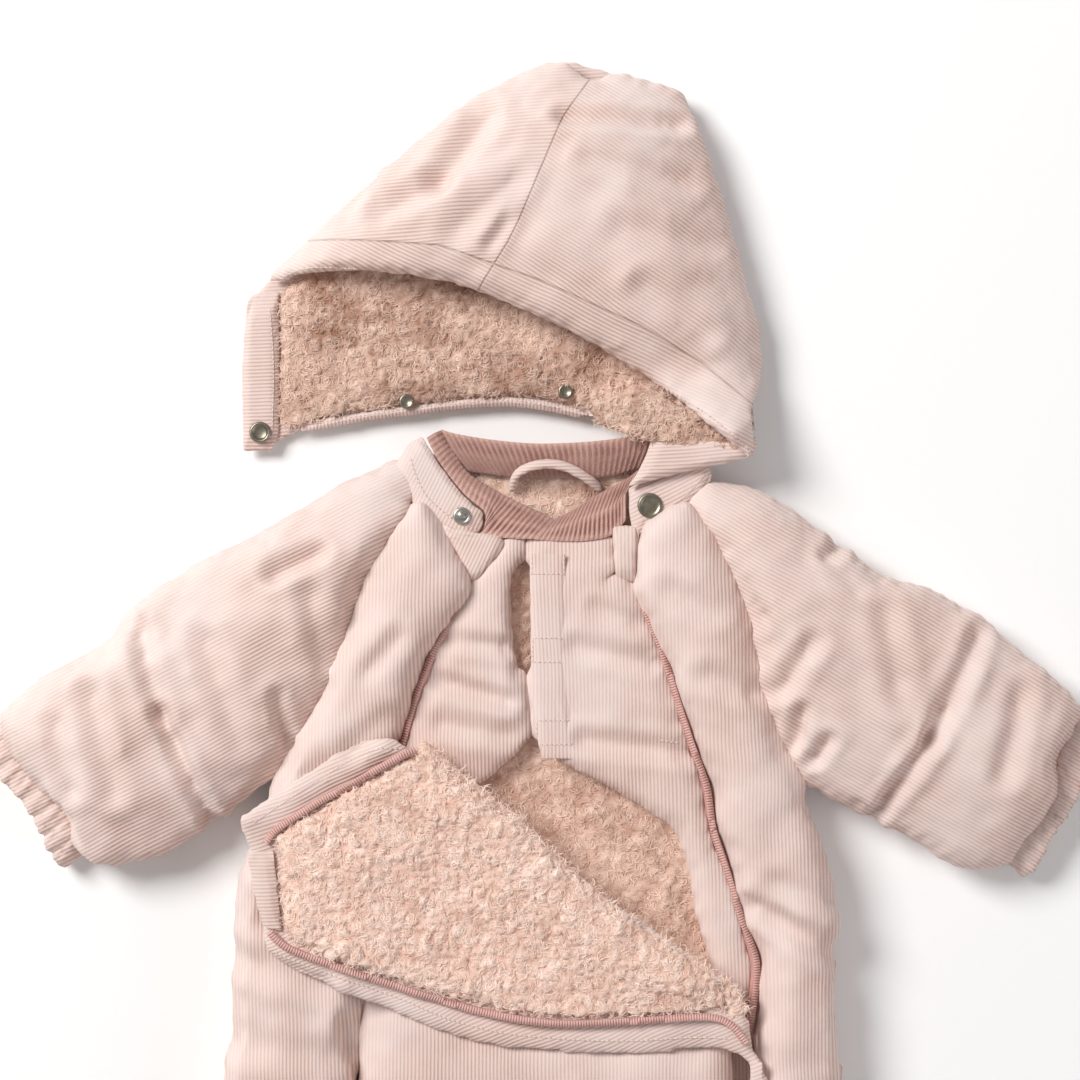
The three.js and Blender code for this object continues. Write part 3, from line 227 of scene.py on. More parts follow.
def linear(text):
    """A hex colour, as a monitor shows it, in the linear values that a shader takes."""
    parts = [int(text[i:i + 2], 16) / 255 for i in (1, 3, 5)]
    return (*[p / 12.92 if p <= 0.04045 else ((p + 0.055) / 1.055) ** 2.4 for p in parts], 1.0)


# %% [markdown]
# ## Corduroy
# Corduroy is a plain cloth with rows of cut pile, the wales, 2.2 mm apart here. Two things
# make it look right: the relief of the rows, and the nap. Rubbed one way the pile looks pale and
# chalky and hides the rows, rubbed the other way it looks pinker and they stand out. Here that
# paleness is partly slow random patches and partly painted light: the side that turns towards the
# key light at the upper left is painted paler, with fainter rows. The grooves between the rows are
# painted darker as shade, and a painted shade line runs along the seams. The rows are a sine
# across the wale direction, bent a little by noise; each piece was cut with its own grain line, so
# the direction is an argument. Where several pieces share one skin, an attribute holds the
# distance from the seam, and its sign picks the grain of either side.

# %% Corduroy
WALE = 2.2 * MM


def wale_rows(f, place, angle, wander):
    """Rows of pile at angle degrees: near 1 on their crowns, 0 in the narrow grooves."""
    turned = f.node("ShaderNodeVectorRotate", {"rotation_type": "Z_AXIS"},
                    {"Vector": place, "Angle": -math.radians(angle)})
    split = f.tree.nodes.new("ShaderNodeSeparateXYZ")
    f.tree.links.new(turned.out, split.inputs[0])
    across = Socket(f.tree, split.outputs[1])
    bend = f.noise(place, 18.0, 1.0)
    phase = across / WALE + (bend - 0.5) * (wander * 5)
    wave = (phase * (2 * math.pi)).sine() * 0.5 + 0.5
    stretched = f.node("ShaderNodeMapping", {}, {"Vector": turned, "Scale": (0.3, 1.0, 1.0)})
    pluck = f.noise(stretched, 1400.0, 3.0, 0.6)
    return (wave ** 0.6 + (pluck - 0.5) * 0.55).clamped()


def corduroy(name, angle, wander=0.35, seams=()):
    """Cord cloth; each seam is (attribute, angle of the cloth where it is below zero)."""
    f = Finish(name)
    place = f.place()
    rows = wale_rows(f, place, angle, wander)
    seam_shade_line = None
    for attribute, other in seams:
        side = f.attribute(attribute)
        positive = side.math("GREATER_THAN", side, 0.0)
        rows = rows * positive + wale_rows(f, place, other, wander) * (1.0 - positive)
        near = 1.0 - (side.math("ABSOLUTE", side) * 1.1).clamped()
        seam_shade_line = near if seam_shade_line is None else seam_shade_line.math("MAXIMUM", seam_shade_line, near)
    fuzz = f.noise(place, 5200.0, 2.0, 0.6)
    broad = f.noise(place, 13.0, 3.0, 0.55)
    patches = f.noise(place, 42.0, 3.0, 0.6)
    # Painted light: this attribute says how far the cloth turns to the key light; with the random
    # nap patches it paints that side paler and its grooves fainter.
    lit_slope = f.attribute("nap_and_lit_side")
    nap_and_lit_side = (lit_slope * 0.9 + (broad - 0.5) * 1.5 + (patches - 0.5) * 0.9 + 0.05).clamped()
    contrast = (1.12 - nap_and_lit_side * 0.95 + (patches - 0.5) * 1.0).clamped()
    # The crown colour is the wales' own pile; the ground colour of the grooves is painted shade,
    # lighter on the lit side.
    crown = f.mixed(nap_and_lit_side, linear("#EBD0C6"), linear("#EDDCD6"))
    ground = f.mixed(nap_and_lit_side, linear("#BC978B"), linear("#CDB3AA"))
    share = ((1.0 - rows) * contrast * 0.85 + (0.5 - fuzz) * 0.25).clamped()
    height = rows * (contrast * 0.8 + 0.12) + (fuzz - 0.5) * 0.3
    # Painted shade: the seam valleys get the groove colour, and their bump is lowered.
    if seam_shade_line is not None:
        share = (share + seam_shade_line * 0.55).clamped()
        height = height - seam_shade_line * 1.6
    colour = f.mixed(share, crown, ground)
    return f.surface(colour, height, 0.0005, 0.8, Roughness=0.95, Sheen_Weight=0.25,
                     Sheen_Roughness=0.5, Sheen_Tint=(1.0, 0.93, 0.9, 1.0),
                     Specular_IOR_Level=0.12)


# %% [markdown]
# ## Pile, rib and zip finishes
# The sherpa lining's colour comes from a height stored on each point as an attribute: the curls'
# crowns are pale, and where they part the colour is browner, as painted shade. A weak glow of the
# same colour is painted light scattered in the pile. The rib knit shows small stitches in every
# rib, and its grooves are painted darker as shade. The zip tape is a shiny filament, the snaps are
# dull plated metal.

# %% Pile, rib, zip and snap finishes
def sherpa(name, crown="#FAE6DA", hollow_shade="#D6AA95", painted_glow=0.07, swirl=0.6):
    """Curly pile: painted shade between the clumps, pale crowns, a weak painted glow."""
    f = Finish(name)
    place = f.place()
    depth = f.attribute("height")
    tint = f.noise(place, 34.0, 3.0, 0.6)
    tuft = f.noise(place, 110.0, 2.0, 0.5)
    fibre = f.noise(place, 2600.0, 4.0, 0.7)
    patches = (tint - 0.5) * swirl + (tuft - 0.5) * 0.6
    # Painted shade and light: low points between clumps get the hollow's shade colour, the crowns
    # the pale one; the patches are the pile's own random tint.
    share = (depth * 1.05 + (fibre - 0.5) * 0.3 + patches).clamped()
    colour = f.mixed(share, linear(hollow_shade), linear(crown))
    # Painted light: the pile's colour also goes in as a weak glow, for light scattered inside the
    # pile.
    f.tree.links.new(colour.out, f.shader.inputs["Emission Color"])
    return f.surface(colour, fibre, 0.0002, 0.3, Roughness=0.95, Sheen_Weight=0.15,
                     Sheen_Roughness=0.5, Sheen_Tint=(1.0, 0.88, 0.8, 1.0),
                     Specular_IOR_Level=0.05, Emission_Strength=painted_glow)


def knit(name):
    """Rib knit: small stitches, a thread's width apart, over ribs that the mesh already has."""
    f = Finish(name)
    place = f.place()
    cells = f.node("ShaderNodeTexVoronoi", {"feature": "F1"}, {"Vector": place, "Scale": 900.0})
    fuzz = f.noise(place, 3600.0, 3.0, 0.65)
    tone = f.noise(place, 70.0, 3.0, 0.6)
    rise = f.attribute("height")
    # Painted shade: points low between the ribs get the dark groove colour, the raised ones the
    # pale rib colour; tone and fuzz are the yarn's own variation.
    share = (rise * 1.5 - 0.3 + (tone - 0.5) * 0.5 + (fuzz - 0.5) * 0.5).clamped()
    colour = f.mixed(share, linear("#83534A"), linear("#DDB4A7"))
    return f.surface(colour, cells * -1.0 + fuzz * 0.6, 0.0005, 0.8, Roughness=0.9,
                     Sheen_Weight=0.3, Specular_IOR_Level=0.15)


def filament(name, colour="#E8C1B9", shade="#CF9C93"):
    """Zip coil and tape: smooth synthetic thread with a slight shine."""
    f = Finish(name)
    place = f.place()
    weave = f.noise(place, 2400.0, 2.0)
    tone = f.noise(place, 120.0, 2.0)
    share = (weave * 0.5 + tone * 0.6).clamped()
    mix = f.mixed(share, linear(shade), linear(colour))
    return f.surface(mix, weave, 0.0002, 0.6, Roughness=0.5, Specular_IOR_Level=0.4)


def plated(name, bright, dull, rough):
    """Plated snap metal, dulled in patches."""
    f = Finish(name)
    place = f.place()
    patch = f.noise(place, 420.0, 4.0, 0.6)
    colour = f.mixed(patch, linear(dull), linear(bright))
    return f.surface(colour, patch, 0.00005, 0.5, Roughness=rough, Metallic=0.9)


FINISHES = {
    "cord_body": corduroy("cord_body", 91),
    "cord_panel": corduroy("cord_panel", 90),
    "cord_sleeve_right": corduroy("cord_sleeve_right", 27),
    "cord_sleeve_left": corduroy("cord_sleeve_left", -30),
    "cord_hood": corduroy("cord_hood", -34, 0.4, [("beside_centre", 4), ("above_band", -26)]),
    "cord_hood_right": corduroy("cord_hood_right", 4),
    "cord_turned": corduroy("cord_turned", 24, wander=0.8),
    "cord_level": corduroy("cord_level", 2, wander=0.2),
    "cord_neck": corduroy("cord_neck", 62, wander=0.4),
    "pile": sherpa("pile"),
    # The two darker copies below, with browner hollows and a weaker glow, are partly painted shade
    # for the pile deep in the hood and in the front's opening, partly a stronger random tint swirl.
    "pile_inner_shaded": sherpa("pile_inner_shaded", "#F6DDCD", "#B58570", 0.05, 1.3),
    "pile_deep_shaded": sherpa("pile_deep_shaded", "#F2D6C5", "#A4755F", 0.02, 1.7),
    "rib": knit("rib"),
    "zip": filament("zip"),
    "tape": filament("tape", "#D8AAA1", "#BD877E"),
    "thread": filament("thread", "#F0DFD8", "#DDC3BA"),
    "silver": plated("silver", "#D9D6D0", "#8F8A84", 0.3),
    "brass": plated("brass", "#ABA393", "#6A6256", 0.36),
}
print("finishes:", ", ".join(FINISHES))


# %% [markdown]
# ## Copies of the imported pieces
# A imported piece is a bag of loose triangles. Its copy is merged first, so that remeshing and
# smoothing see one skin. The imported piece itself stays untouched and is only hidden.

# %% Copying a piece
def deselect():
    if bpy.context.mode != "OBJECT":
        bpy.ops.object.mode_set(mode="OBJECT")
    bpy.ops.object.select_all(action="DESELECT")


def activate(piece):
    deselect()
    piece.select_set(True)
    bpy.context.view_layer.objects.active = piece


def copy_of(node, name):
    """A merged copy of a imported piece, as its own object."""
    source = frame["nodes"][node]
    piece = bpy.data.objects.new(name, source.data.copy())
    piece.data.materials.clear()
    bpy.context.collection.objects.link(piece)
    activate(piece)
    bpy.ops.object.mode_set(mode="EDIT")
    bpy.ops.mesh.select_all(action="SELECT")
    bpy.ops.mesh.remove_doubles(threshold=0.02 * MM)
    bpy.ops.mesh.normals_make_consistent(inside=False)
    bpy.ops.object.mode_set(mode="OBJECT")
    return piece


def points_of(piece):
    flat = np.empty(len(piece.data.vertices) * 3)
    piece.data.vertices.foreach_get("co", flat)
    return flat.reshape(-1, 3)


def normals_of(piece):
    flat = np.empty(len(piece.data.vertices) * 3)
    piece.data.vertices.foreach_get("normal", flat)
    return flat.reshape(-1, 3)


def put_points(piece, points):
    piece.data.vertices.foreach_set("co", points.ravel())
    piece.data.update()


def put_above_floor(piece, points):
    points[:, 2] = np.maximum(points[:, 2], FLOOR_GAP)
    put_points(piece, points)


def plan_of(points):
    """Points seen from above, in the picture's millimetres."""
    return points[:, :2] / MM - np.array(SHIFT)


def apply(piece, kind, name, **settings):
    """Adds a modifier with its settings and applies it, as Ctrl+A does."""
    activate(piece)
    modifier = piece.modifiers.new(name, kind)
    for key, value in settings.items():
        setattr(modifier, key, value)
    bpy.ops.object.modifier_apply(modifier=name)


def remeshed(piece, voxel):
    """One even skin with cells of voxel millimetres, its corners relaxed."""
    apply(piece, "REMESH", "skin", mode="VOXEL", voxel_size=voxel * MM)
    apply(piece, "SMOOTH", "relax", factor=0.6, iterations=3)


def subdivided(piece, levels):
    """Finer faces in the same planes."""
    apply(piece, "SUBSURF", "fine", levels=levels, render_levels=levels,
          subdivision_type="SIMPLE")


def relaxed(piece, rounds):
    apply(piece, "SMOOTH", "relax", factor=0.5, iterations=rounds)


def finished(piece, finish):
    """Gives a piece its finish and smooth shading, and puts it on the root body."""
    piece.data.materials.clear()
    piece.data.materials.append(FINISHES[finish])
    piece.data.shade_smooth()
    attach(piece, "root")


def dressed(piece, nodes, finish):
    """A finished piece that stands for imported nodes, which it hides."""
    finished(piece, finish)
    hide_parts(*nodes)


def new_piece(name, points, faces):
    data = bpy.data.meshes.new(name)
    data.from_pydata(points.tolist(), [], faces)
    piece = bpy.data.objects.new(name, data)
    bpy.context.collection.objects.link(piece)
    return piece


# %% [markdown]
# ## Padded pieces
# Quilted wadding lifts the cloth between its seams. That is what a pressure simulation does: the
# piece is remeshed evenly, made slightly smaller, and blown up gently as cloth for twenty frames
# with gravity off. A cap keeps every point near where it started, so a piece can't grow into its
# neighbour, and the underside stays flat where it lies on the floor. All pieces are simulated
# together, because each frame step is then shared.

# %% The padded pieces and their cloth
PADDED = {
    # name: (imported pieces, finish, voxel mm, cap mm, fill)
    "back_panel": (("back_panel",), "cord_body", 6.5, 2.0, 0.4),
    "front_side_right": (("front_side_right",), "cord_body", 4.9, 4.0, 0.6),
    "front_side_left": (("front_side_left",), "cord_body", 4.9, 4.0, 0.6),
    "centre_panel": (("centre_panel",), "cord_panel", 5.8, 3.5, 0.5),
    "storm_flap_right": (("storm_flap_right",), "cord_body", 3.4, 2.0, 0.3),
    "storm_flap_left": (("storm_flap_left",), "cord_body", 3.4, 2.0, 0.3),
    "panel_turned": (("panel_turned",), "cord_turned", 3.4, 1.5, 0.3),
    "sleeve_right": (("sleeve_right",), "cord_sleeve_right", 4.4, 5.0, 0.7),
    "sleeve_left": (("sleeve_left",), "cord_sleeve_left", 4.4, 5.0, 0.7),
    "hood_under": (("hood_under",), "cord_hood_right", 4.0, 1.0, 0.3),
    "hood_shell": (("hood_panel_right", "hood_panel_left", "hood_band"), "cord_hood", 4.1, 4.0,
                   0.5),
}
UNDERNEATH = ("back_panel", "hood_under")        # seen only at their edges
NOT_BLOWN_UP = (*UNDERNEATH, "panel_turned")
SIM_FRAMES = 20
PRESSURE = 4.0
SHRINK = 0.0006


def tucked(piece, far, way):
    """Moves the side of a thin piece that faces one way further out, under its neighbour."""
    way = np.array(way) / np.hypot(*way)
    points = points_of(piece)
    toward = np.clip(normals_of(piece)[:, :2] @ way * 1.4, 0, 1)
    points[:, :2] += toward[:, None] * way * far * MM
    put_points(piece, points)


# Tops of the fronts that lie over the collar's lower edge: millimetres, and the way they grow
LAPPED = {
    "storm_flap_right": (4.5, (0, 1)), "storm_flap_left": (4.5, (0, 1)),
    "front_side_right": (5.0, (0, 1)), "front_side_left": (5.0, (0, 1)),
}
padded = {}
start_points = {}
for node, (sources, finish, voxel, cap, fill) in PADDED.items():
    parts = [copy_of(source, source + "_part") for source in sources]
    activate(parts[0])
    for part in parts[1:]:
        part.select_set(True)
    if len(parts) > 1:
        bpy.ops.object.join()
    piece = parts[0]
    piece.name = node + "_cloth"
    remeshed(piece, voxel)
    if node in LAPPED:
        tucked(piece, *LAPPED[node])
    start_points[node] = points_of(piece)
    put_points(piece, start_points[node] - normals_of(piece) * SHRINK)
    padded[node] = piece
print("padded pieces:", {n: len(p.data.polygons) for n, p in padded.items()})


# %% Blowing the pads up
def cloth_of(piece):
    modifier = piece.modifiers.new("padding", "CLOTH")
    cloth = modifier.settings
    cloth.quality = 4
    cloth.mass = 0.25
    cloth.tension_stiffness = 18
    cloth.compression_stiffness = 18
    cloth.bending_stiffness = 2.5
    cloth.air_damping = 4
    cloth.use_pressure = True
    cloth.uniform_pressure_force = PRESSURE
    cloth.effector_weights.gravity = 0
    modifier.collision_settings.use_collision = False
    modifier.point_cache.frame_start = 1
    modifier.point_cache.frame_end = SIM_FRAMES


SIMULATED = [n for n in PADDED if n not in NOT_BLOWN_UP]
for node in SIMULATED:
    cloth_of(padded[node])
for step in range(1, SIM_FRAMES + 1):
    bpy.context.scene.frame_set(step)
for node in SIMULATED:
    piece = padded[node]
    activate(piece)
    bpy.ops.object.modifier_apply(modifier="padding")
    piece.modifiers.clear()
bpy.context.scene.frame_set(1)
for node, piece in padded.items():
    cap = PADDED[node][3] * MM
    moved = points_of(piece) - start_points[node]
    far = np.linalg.norm(moved, axis=1, keepdims=True)
    moved *= np.minimum(1.0, cap / np.maximum(far, 1e-9))
    put_above_floor(piece, start_points[node] + moved)
    print(node, "moved at most %.1f mm" % (np.linalg.norm(moved, axis=1).max() / MM))


# %% [markdown]
# ## Creases and soft lumps
# Wadding is never even. Each main crease of the photograph is one row of a table: from, to, how
# deep, how wide, in millimetres. A crease is a soft trough with a low ridge along each side.
# Below that, a slow noise gives the wadding lumps, and short puckers stand across the seams,
# because the thread draws the cloth together there.

# %% Creases
CREASES = [
    # from, to, deep, wide
    ((-240, -52), (-226, -104), 3.0, 7), ((-226, -104), (-196, -172), 3.5, 6),
    ((-132, -8), (-158, -20), 2.5, 7), ((-136, -34), (-130, -70), 2.5, 8),
    ((-157, -92), (-151, -120), 3.0, 5), ((-200, -60), (-178, -120), 2.0, 9),
    ((-268, -92), (-254, -150), 2.0, 8), ((-290, -110), (-280, -150), 1.5, 7),
    ((262, -58), (233, -118), 3.0, 7), ((233, -118), (204, -162), 3.5, 6),
    ((173, -9), (186, 4), 2.5, 6), ((162, -61), (143, -89), 2.5, 7),
    ((156, -101), (152, -122), 3.0, 5), ((172, -118), (164, -131), 3.0, 5),
    ((206, -44), (214, -96), 1.8, 9), ((288, -92), (276, -140), 2.0, 8),
    ((129, -219), (180, -250), 2.5, 8), ((140, -205), (176, -216), 1.5, 8),
    ((-84, -58), (-104, -78), 1.6, 7), ((-92, -104), (-112, -124), 1.6, 8),
    ((78, -30), (104, -44), 1.5, 8), ((100, -80), (128, -92), 1.6, 8),
    ((-62, -84), (-20, -96), 2.0, 6), ((-56, -60), (-22, -64), 1.6, 6),
    ((-60, -110), (-18, -118), 1.6, 7), ((22, -64), (66, -74), 1.4, 7),
    ((26, -120), (88, -128), 1.8, 7), ((34, -40), (58, -50), 1.2, 6),
    ((-60, 215), (-32, 255), 2.2, 9), ((-96, 196), (-60, 214), 1.8, 8),
    ((-50, 184), (-16, 214), 1.8, 9), ((62, 150), (98, 124), 2.0, 9),
    ((14, 253), (84, 249), 2.2, 6), ((30, 228), (88, 214), 1.4, 8),
    ((50, 186), (100, 176), 1.2, 10), ((-30, 176), (-20, 190), 1.5, 5),
    ((-118, -286), (-108, -326), 2.5, 5), ((-180, -250), (-130, -262), 1.6, 9),
    ((-186, -300), (-126, -306), 1.2, 10), ((-186, -380), (-120, -392), 1.8, 9),
    ((176, -330), (140, -338), 1.5, 8), ((182, -400), (124, -412), 1.8, 9),
    ((-180, -470), (-96, -482), 2.2, 8), ((-168, -530), (-78, -540), 2.4, 8),
    ((168, -474), (80, -486), 2.2, 8), ((156, -532), (62, -542), 2.4, 8),
    ((-60, -380), (-10, -404), 2.0, 8), ((54, -380), (0, -404), 2.0, 8),
    ((-90, -520), (-52, -528), 1.5, 7), ((84, -520), (44, -528), 1.5, 7),
]
DEEPER = 2.1        # every depth of the table is multiplied by this
LUMP = 1.5          # millimetres
PUCKER = 0.7


def neighbours_of(piece):
    """Both ends of every edge, for averaging over a mesh."""
    ends = np.empty(len(piece.data.edges) * 2, dtype=np.int64)
    piece.data.edges.foreach_get("vertices", ends)
    ends = ends.reshape(-1, 2)
    return np.concatenate([ends[:, 0], ends[:, 1]]), np.concatenate([ends[:, 1], ends[:, 0]])


def averaged(values, ends, rounds):
    """Each value drawn towards its neighbours' mean, rounds times."""
    here, there = ends
    count = np.bincount(here, minlength=len(values)).astype(float)
    for _ in range(rounds):
        total = np.zeros_like(values)
        np.add.at(total, here, values[there])
        mean = total / np.maximum(count, 1).reshape(-1, *[1] * (values.ndim - 1))
        values = 0.5 * values + 0.5 * mean
    return values


def signed_from(plan, line):
    """Signed distance from a line through the plan points, positive on its left side."""
    best = np.full(len(plan), 1e9)
    side = np.zeros(len(plan))
    p = np.array(line, float)
    p = np.vstack([p[0] + (p[0] - p[1]) * 5, p, p[-1] + (p[-1] - p[-2]) * 5])
    for a, b in zip(p, p[1:]):
        along = b - a
        t = np.clip(((plan - a) @ along) / (along @ along), 0, 1)
        gap = plan - a - t[:, None] * along
        far = np.hypot(*gap.T)
        cross = along[0] * (plan[:, 1] - a[1]) - along[1] * (plan[:, 0] - a[0])
        closer = far < best
        best = np.where(closer, far, best)
        side = np.where(closer, np.sign(cross), side)
    return best * side


def away_from(points, a, b):
    """Distance of points (in picture millimetres) from the line a to b, fading past its ends."""
    start = np.array(a, float)
    along = np.array(b, float) - start
    t = np.clip(((points - start) @ along) / (along @ along), 0, 1)
    return np.hypot(*(points - start - t[:, None] * along).T)


def waves(points, length, seed, count=9):
    """Smooth noise: a few sines of about one wavelength in random directions."""
    source = np.random.default_rng(seed)
    total = np.zeros(len(points))
    for _ in range(count):
        angle = source.uniform(0, math.pi)
        stretch = source.uniform(0.7, 1.5)
        phase = source.uniform(0, 2 * math.pi)
        along = points[:, 0] * math.cos(angle) + points[:, 1] * math.sin(angle)
        total += np.sin(along * 2 * math.pi / (length * stretch) + phase)
    return total / math.sqrt(count)


def rumpled(piece, lump, pucker=PUCKER, creases=True):
    """Moves the upper side by creases, lumps and seam puckers; the underside stays."""
    points = points_of(piece)
    normals = normals_of(piece)
    plan = plan_of(points)
    rise = lump * waves(plan, 46, 3) * 0.6 + lump * waves(plan, 21, 5) * 0.3
    if creases:
        for a, b, deep, wide in CREASES:
            far = away_from(plan, a, b) / (0.85 * wide)
            rise -= DEEPER * deep * np.exp(-1.3 * far ** 1.4)
            rise += 0.5 * DEEPER * deep * np.exp(-((far - 1.7) / 0.75) ** 2)
    seam = 1 - np.clip(np.abs(normals[:, 2]), 0, 1)
    rise += pucker * waves(plan, 8.5, 11) * np.clip(seam * 2.0, 0, 1)
    facing_up = np.clip(normals[:, 2] * 1.5 + 0.6, 0, 1)
    put_above_floor(piece, points + normals * (rise * facing_up * MM)[:, None])


def store(piece, name, values):
    """Keeps one number a point, for the finish to read."""
    layer = piece.data.attributes.new(name, "FLOAT", "POINT")
    layer.data.foreach_set("value", values.astype(np.float32))


def store_lit_side(piece):
    """How far the cloth turns to the upper left, towards the key light: painted light, paler and
    with fainter wales there.
    """
    lean = averaged(normals_of(piece) @ np.array([-0.62, 0.62, 0.0]), neighbours_of(piece), 4)
    store(piece, "nap_and_lit_side", np.clip(0.42 + 0.7 * lean, 0, 1))


# Pieces with less wadding, and so smaller lumps
QUIET = {"back_panel": 0.3, "hood_under": 0.3, "panel_turned": 0.3, "storm_flap_right": 0.5,
         "storm_flap_left": 0.5, "hood_shell": 0.7}
BAND_SEAM = [(-147, 181), (-120, 180), (-92, 178), (-59, 175), (-30, 165), (-1, 155), (59, 128),
             (97, 106), (134, 76)]
CENTRE_SEAM = [(-27, 164.4), (-19, 177), (-12, 191), (-1, 217), (14, 253), (26, 271), (31, 279)]


# %% [markdown]
# ## Closing the seams
# Two pads that are sewn together meet in a soft valley. Here each pad was made alone, so a gap is
# left. Each point of a pad's side looks sideways; where it sees another pad close by, it moves
# half the way there, and its neighbours are drawn along. It moves the whole way to a thin piece
# such as a zip, which stays where it is. The three hood pieces went through the remesh as one
# skin, so their seams only need smoothing: the hood is nearly even across them.

# %% Closing the seams
def meshes_tree(pieces):
    """Several pieces as one tree to cast rays at."""
    verts = []
    faces = []
    for piece in pieces:
        start = len(verts)
        verts.extend(tuple(p) for p in points_of(piece))
        faces.extend([start + i for i in face.vertices] for face in piece.data.polygons)
    return BVHTree.FromPolygons(verts, faces)


REACH = 9.5             # millimetres that a point can see sideways
OVERLAP = 0.0004        # how far two sewn pads run into each other
SIDEWAYS = 0.25         # how upright the cloth must be to look sideways at all
CLOSED = [n for n in SIMULATED if n != "hood_shell"]
FIXED = ("zip_body_right", "zip_body_left", "zip_guard_right", "zip_guard_left", "cuff_right",
         "cuff_left", "collar_stand_right", "collar_stand_left", "ankle_cuff_right",
         "ankle_cuff_left", "rib_front_right", "rib_front_left")
fixed_tree = meshes_tree([frame["nodes"][n] for n in FIXED])
moves = {}
for node in CLOSED:
    piece = padded[node]
    others = meshes_tree([padded[n] for n in CLOSED if n != node])
    points = points_of(piece)
    normals = normals_of(piece)
    sideways = normals.copy()
    sideways[:, 2] = 0
    length = np.linalg.norm(sideways, axis=1)
    moved = np.zeros_like(points)
    for i in np.nonzero(length > SIDEWAYS)[0]:
        way = Vector(sideways[i] / length[i])
        spot = Vector(points[i])
        share = min(1.0, (length[i] - SIDEWAYS) / 0.3)
        to_pad = others.ray_cast(spot, way, REACH * MM)[3]
        to_fixed = fixed_tree.ray_cast(spot, way, REACH * MM)[3]
        step = 0.0
        if to_pad is not None:
            step = to_pad / 2 + OVERLAP
        if to_fixed is not None:
            step = max(step, to_fixed - OVERLAP)
        moved[i] = np.array(way) * step * share
    moves[node] = averaged(moved, neighbours_of(piece), 2) * 1.25
for node, moved in moves.items():
    put_points(padded[node], points_of(padded[node]) + moved)


# %% Evening out the hood's seams
SEAM_WIDTH = 9          # millimetres to either side
SEAM_LIFT = 1.6
hood = padded["hood_shell"]
points = points_of(hood)
above = signed_from(plan_of(points), BAND_SEAM)
beside = signed_from(plan_of(points), CENTRE_SEAM)
near = np.maximum(np.exp(-(above / SEAM_WIDTH) ** 2),
                  np.exp(-(beside / SEAM_WIDTH) ** 2) * (above > -4))
ends = neighbours_of(hood)
for _ in range(14):
    points += (averaged(points, ends, 1) - points) * near[:, None] * 1.6
points[:, 2] += (SEAM_LIFT * np.exp(-(np.minimum(np.abs(above), np.abs(beside)) / 7) ** 2)
                 * (normals_of(hood)[:, 2] > 0.3)) * MM
put_points(hood, points)


# %% Drawing the layers underneath in
# Their normals are averaged first. On so thin a rim a single one can point anywhere.
TUCK = 0.0022
for node, rounds in (("back_panel", 0), ("hood_under", 3)):
    piece = padded[node]
    ends = neighbours_of(piece)
    outward = averaged(normals_of(piece) * np.array([1.0, 1.0, 0.0]), ends, 6)
    put_points(piece, averaged(points_of(piece) - outward * TUCK, ends, rounds))
print("closed the seams of", len(moves), "pieces")


# %% Creasing and finishing the pads
for node, piece in padded.items():
    rumpled(piece, LUMP * QUIET.get(node, 1.0))
    if node not in UNDERNEATH:
        apply(piece, "SUBSURF", "soft", levels=1, render_levels=1)
    store_lit_side(piece)
    sources, finish, _, _, fill = PADDED[node]
    dressed(piece, sources, finish)
plan = plan_of(points_of(hood))
store(hood, "above_band", signed_from(plan, BAND_SEAM))
store(hood, "beside_centre", -signed_from(plan, CENTRE_SEAM))
print("creased with", len(CREASES), "creases")


# %% [markdown]
# ## Small cord pieces
# Facings, guards, collar stands and cuffs are too thin to remesh. Their copies are subdivided and
# relaxed instead, which rounds the turned edges, and the cuffs keep the gathers of their elastic.

# %% Small cord pieces
SMALL = {
    # node: (finish, padded fill or None for a sheet)
    "placket": ("cord_body", None),
    "zip_guard_right": ("cord_neck", None),
    "zip_guard_left": ("cord_body", None),
    "panel_facing": ("cord_level", None),
    "cuff_right": ("cord_sleeve_right", 0.3),
    "cuff_left": ("cord_sleeve_left", 0.3),
    "ankle_cuff_right": ("cord_body", 0.3),
    "ankle_cuff_left": ("cord_body", 0.3),
    "collar_stand_right": ("cord_neck", 0.4),
    "collar_stand_left": ("cord_sleeve_right", 0.4),
    "hood_neck_facing": ("cord_panel", 0.2),
    "hood_end_right": ("cord_level", 0.3),
    "hood_end_left": ("cord_hood_right", 0.3),
    "hanger_loop": ("cord_level", None),
}


# Elastic hems: the direction of the hem in the picture, and how deep its gathers are
GATHER_PITCH = 6.2
GATHERED = {
    "cuff_right": ((0.573, -0.82), 1.5), "cuff_left": ((0.573, 0.82), 1.5),
    "ankle_cuff_right": ((1, 0), 1.3), "ankle_cuff_left": ((1, 0), 1.3),
}


def gathered(piece, along, deep):
    """Short folds across an elastic hem, none like the next."""
    points = points_of(piece)
    plan = points[:, :2] / MM
    s = plan @ np.array(along) + 1.4 * waves(plan, 30, 41) + 0.8 * waves(plan, 11, 42)
    fold = np.abs(np.sin(math.pi * s / GATHER_PITCH)) - 0.6
    size = deep * (0.8 + 0.35 * waves(plan, 24, 43))
    put_above_floor(piece, points + normals_of(piece) * (fold * size * MM)[:, None])


# Edges that tuck in under the neighbouring pads: millimetres, and the way they grow
TUCKED = {
    "collar_stand_right": (6.0, (-0.7, -0.8)), "collar_stand_left": (5.0, (0, -1)),
    "zip_guard_left": (5.0, (0, 1)), "zip_guard_right": (3.0, (0.2, 1)),
    "cuff_right": (4.0, (1, 0.6)), "cuff_left": (4.0, (-1, 0.6)),
    "ankle_cuff_right": (3.0, (0, 1)), "ankle_cuff_left": (3.0, (0, 1)),
    "hood_end_right": (5.0, (0.3, 1)),
}
LOOP_FULLER = 0.0011        # metres: the hanger loop is a stuffed tube, thicker than its strip


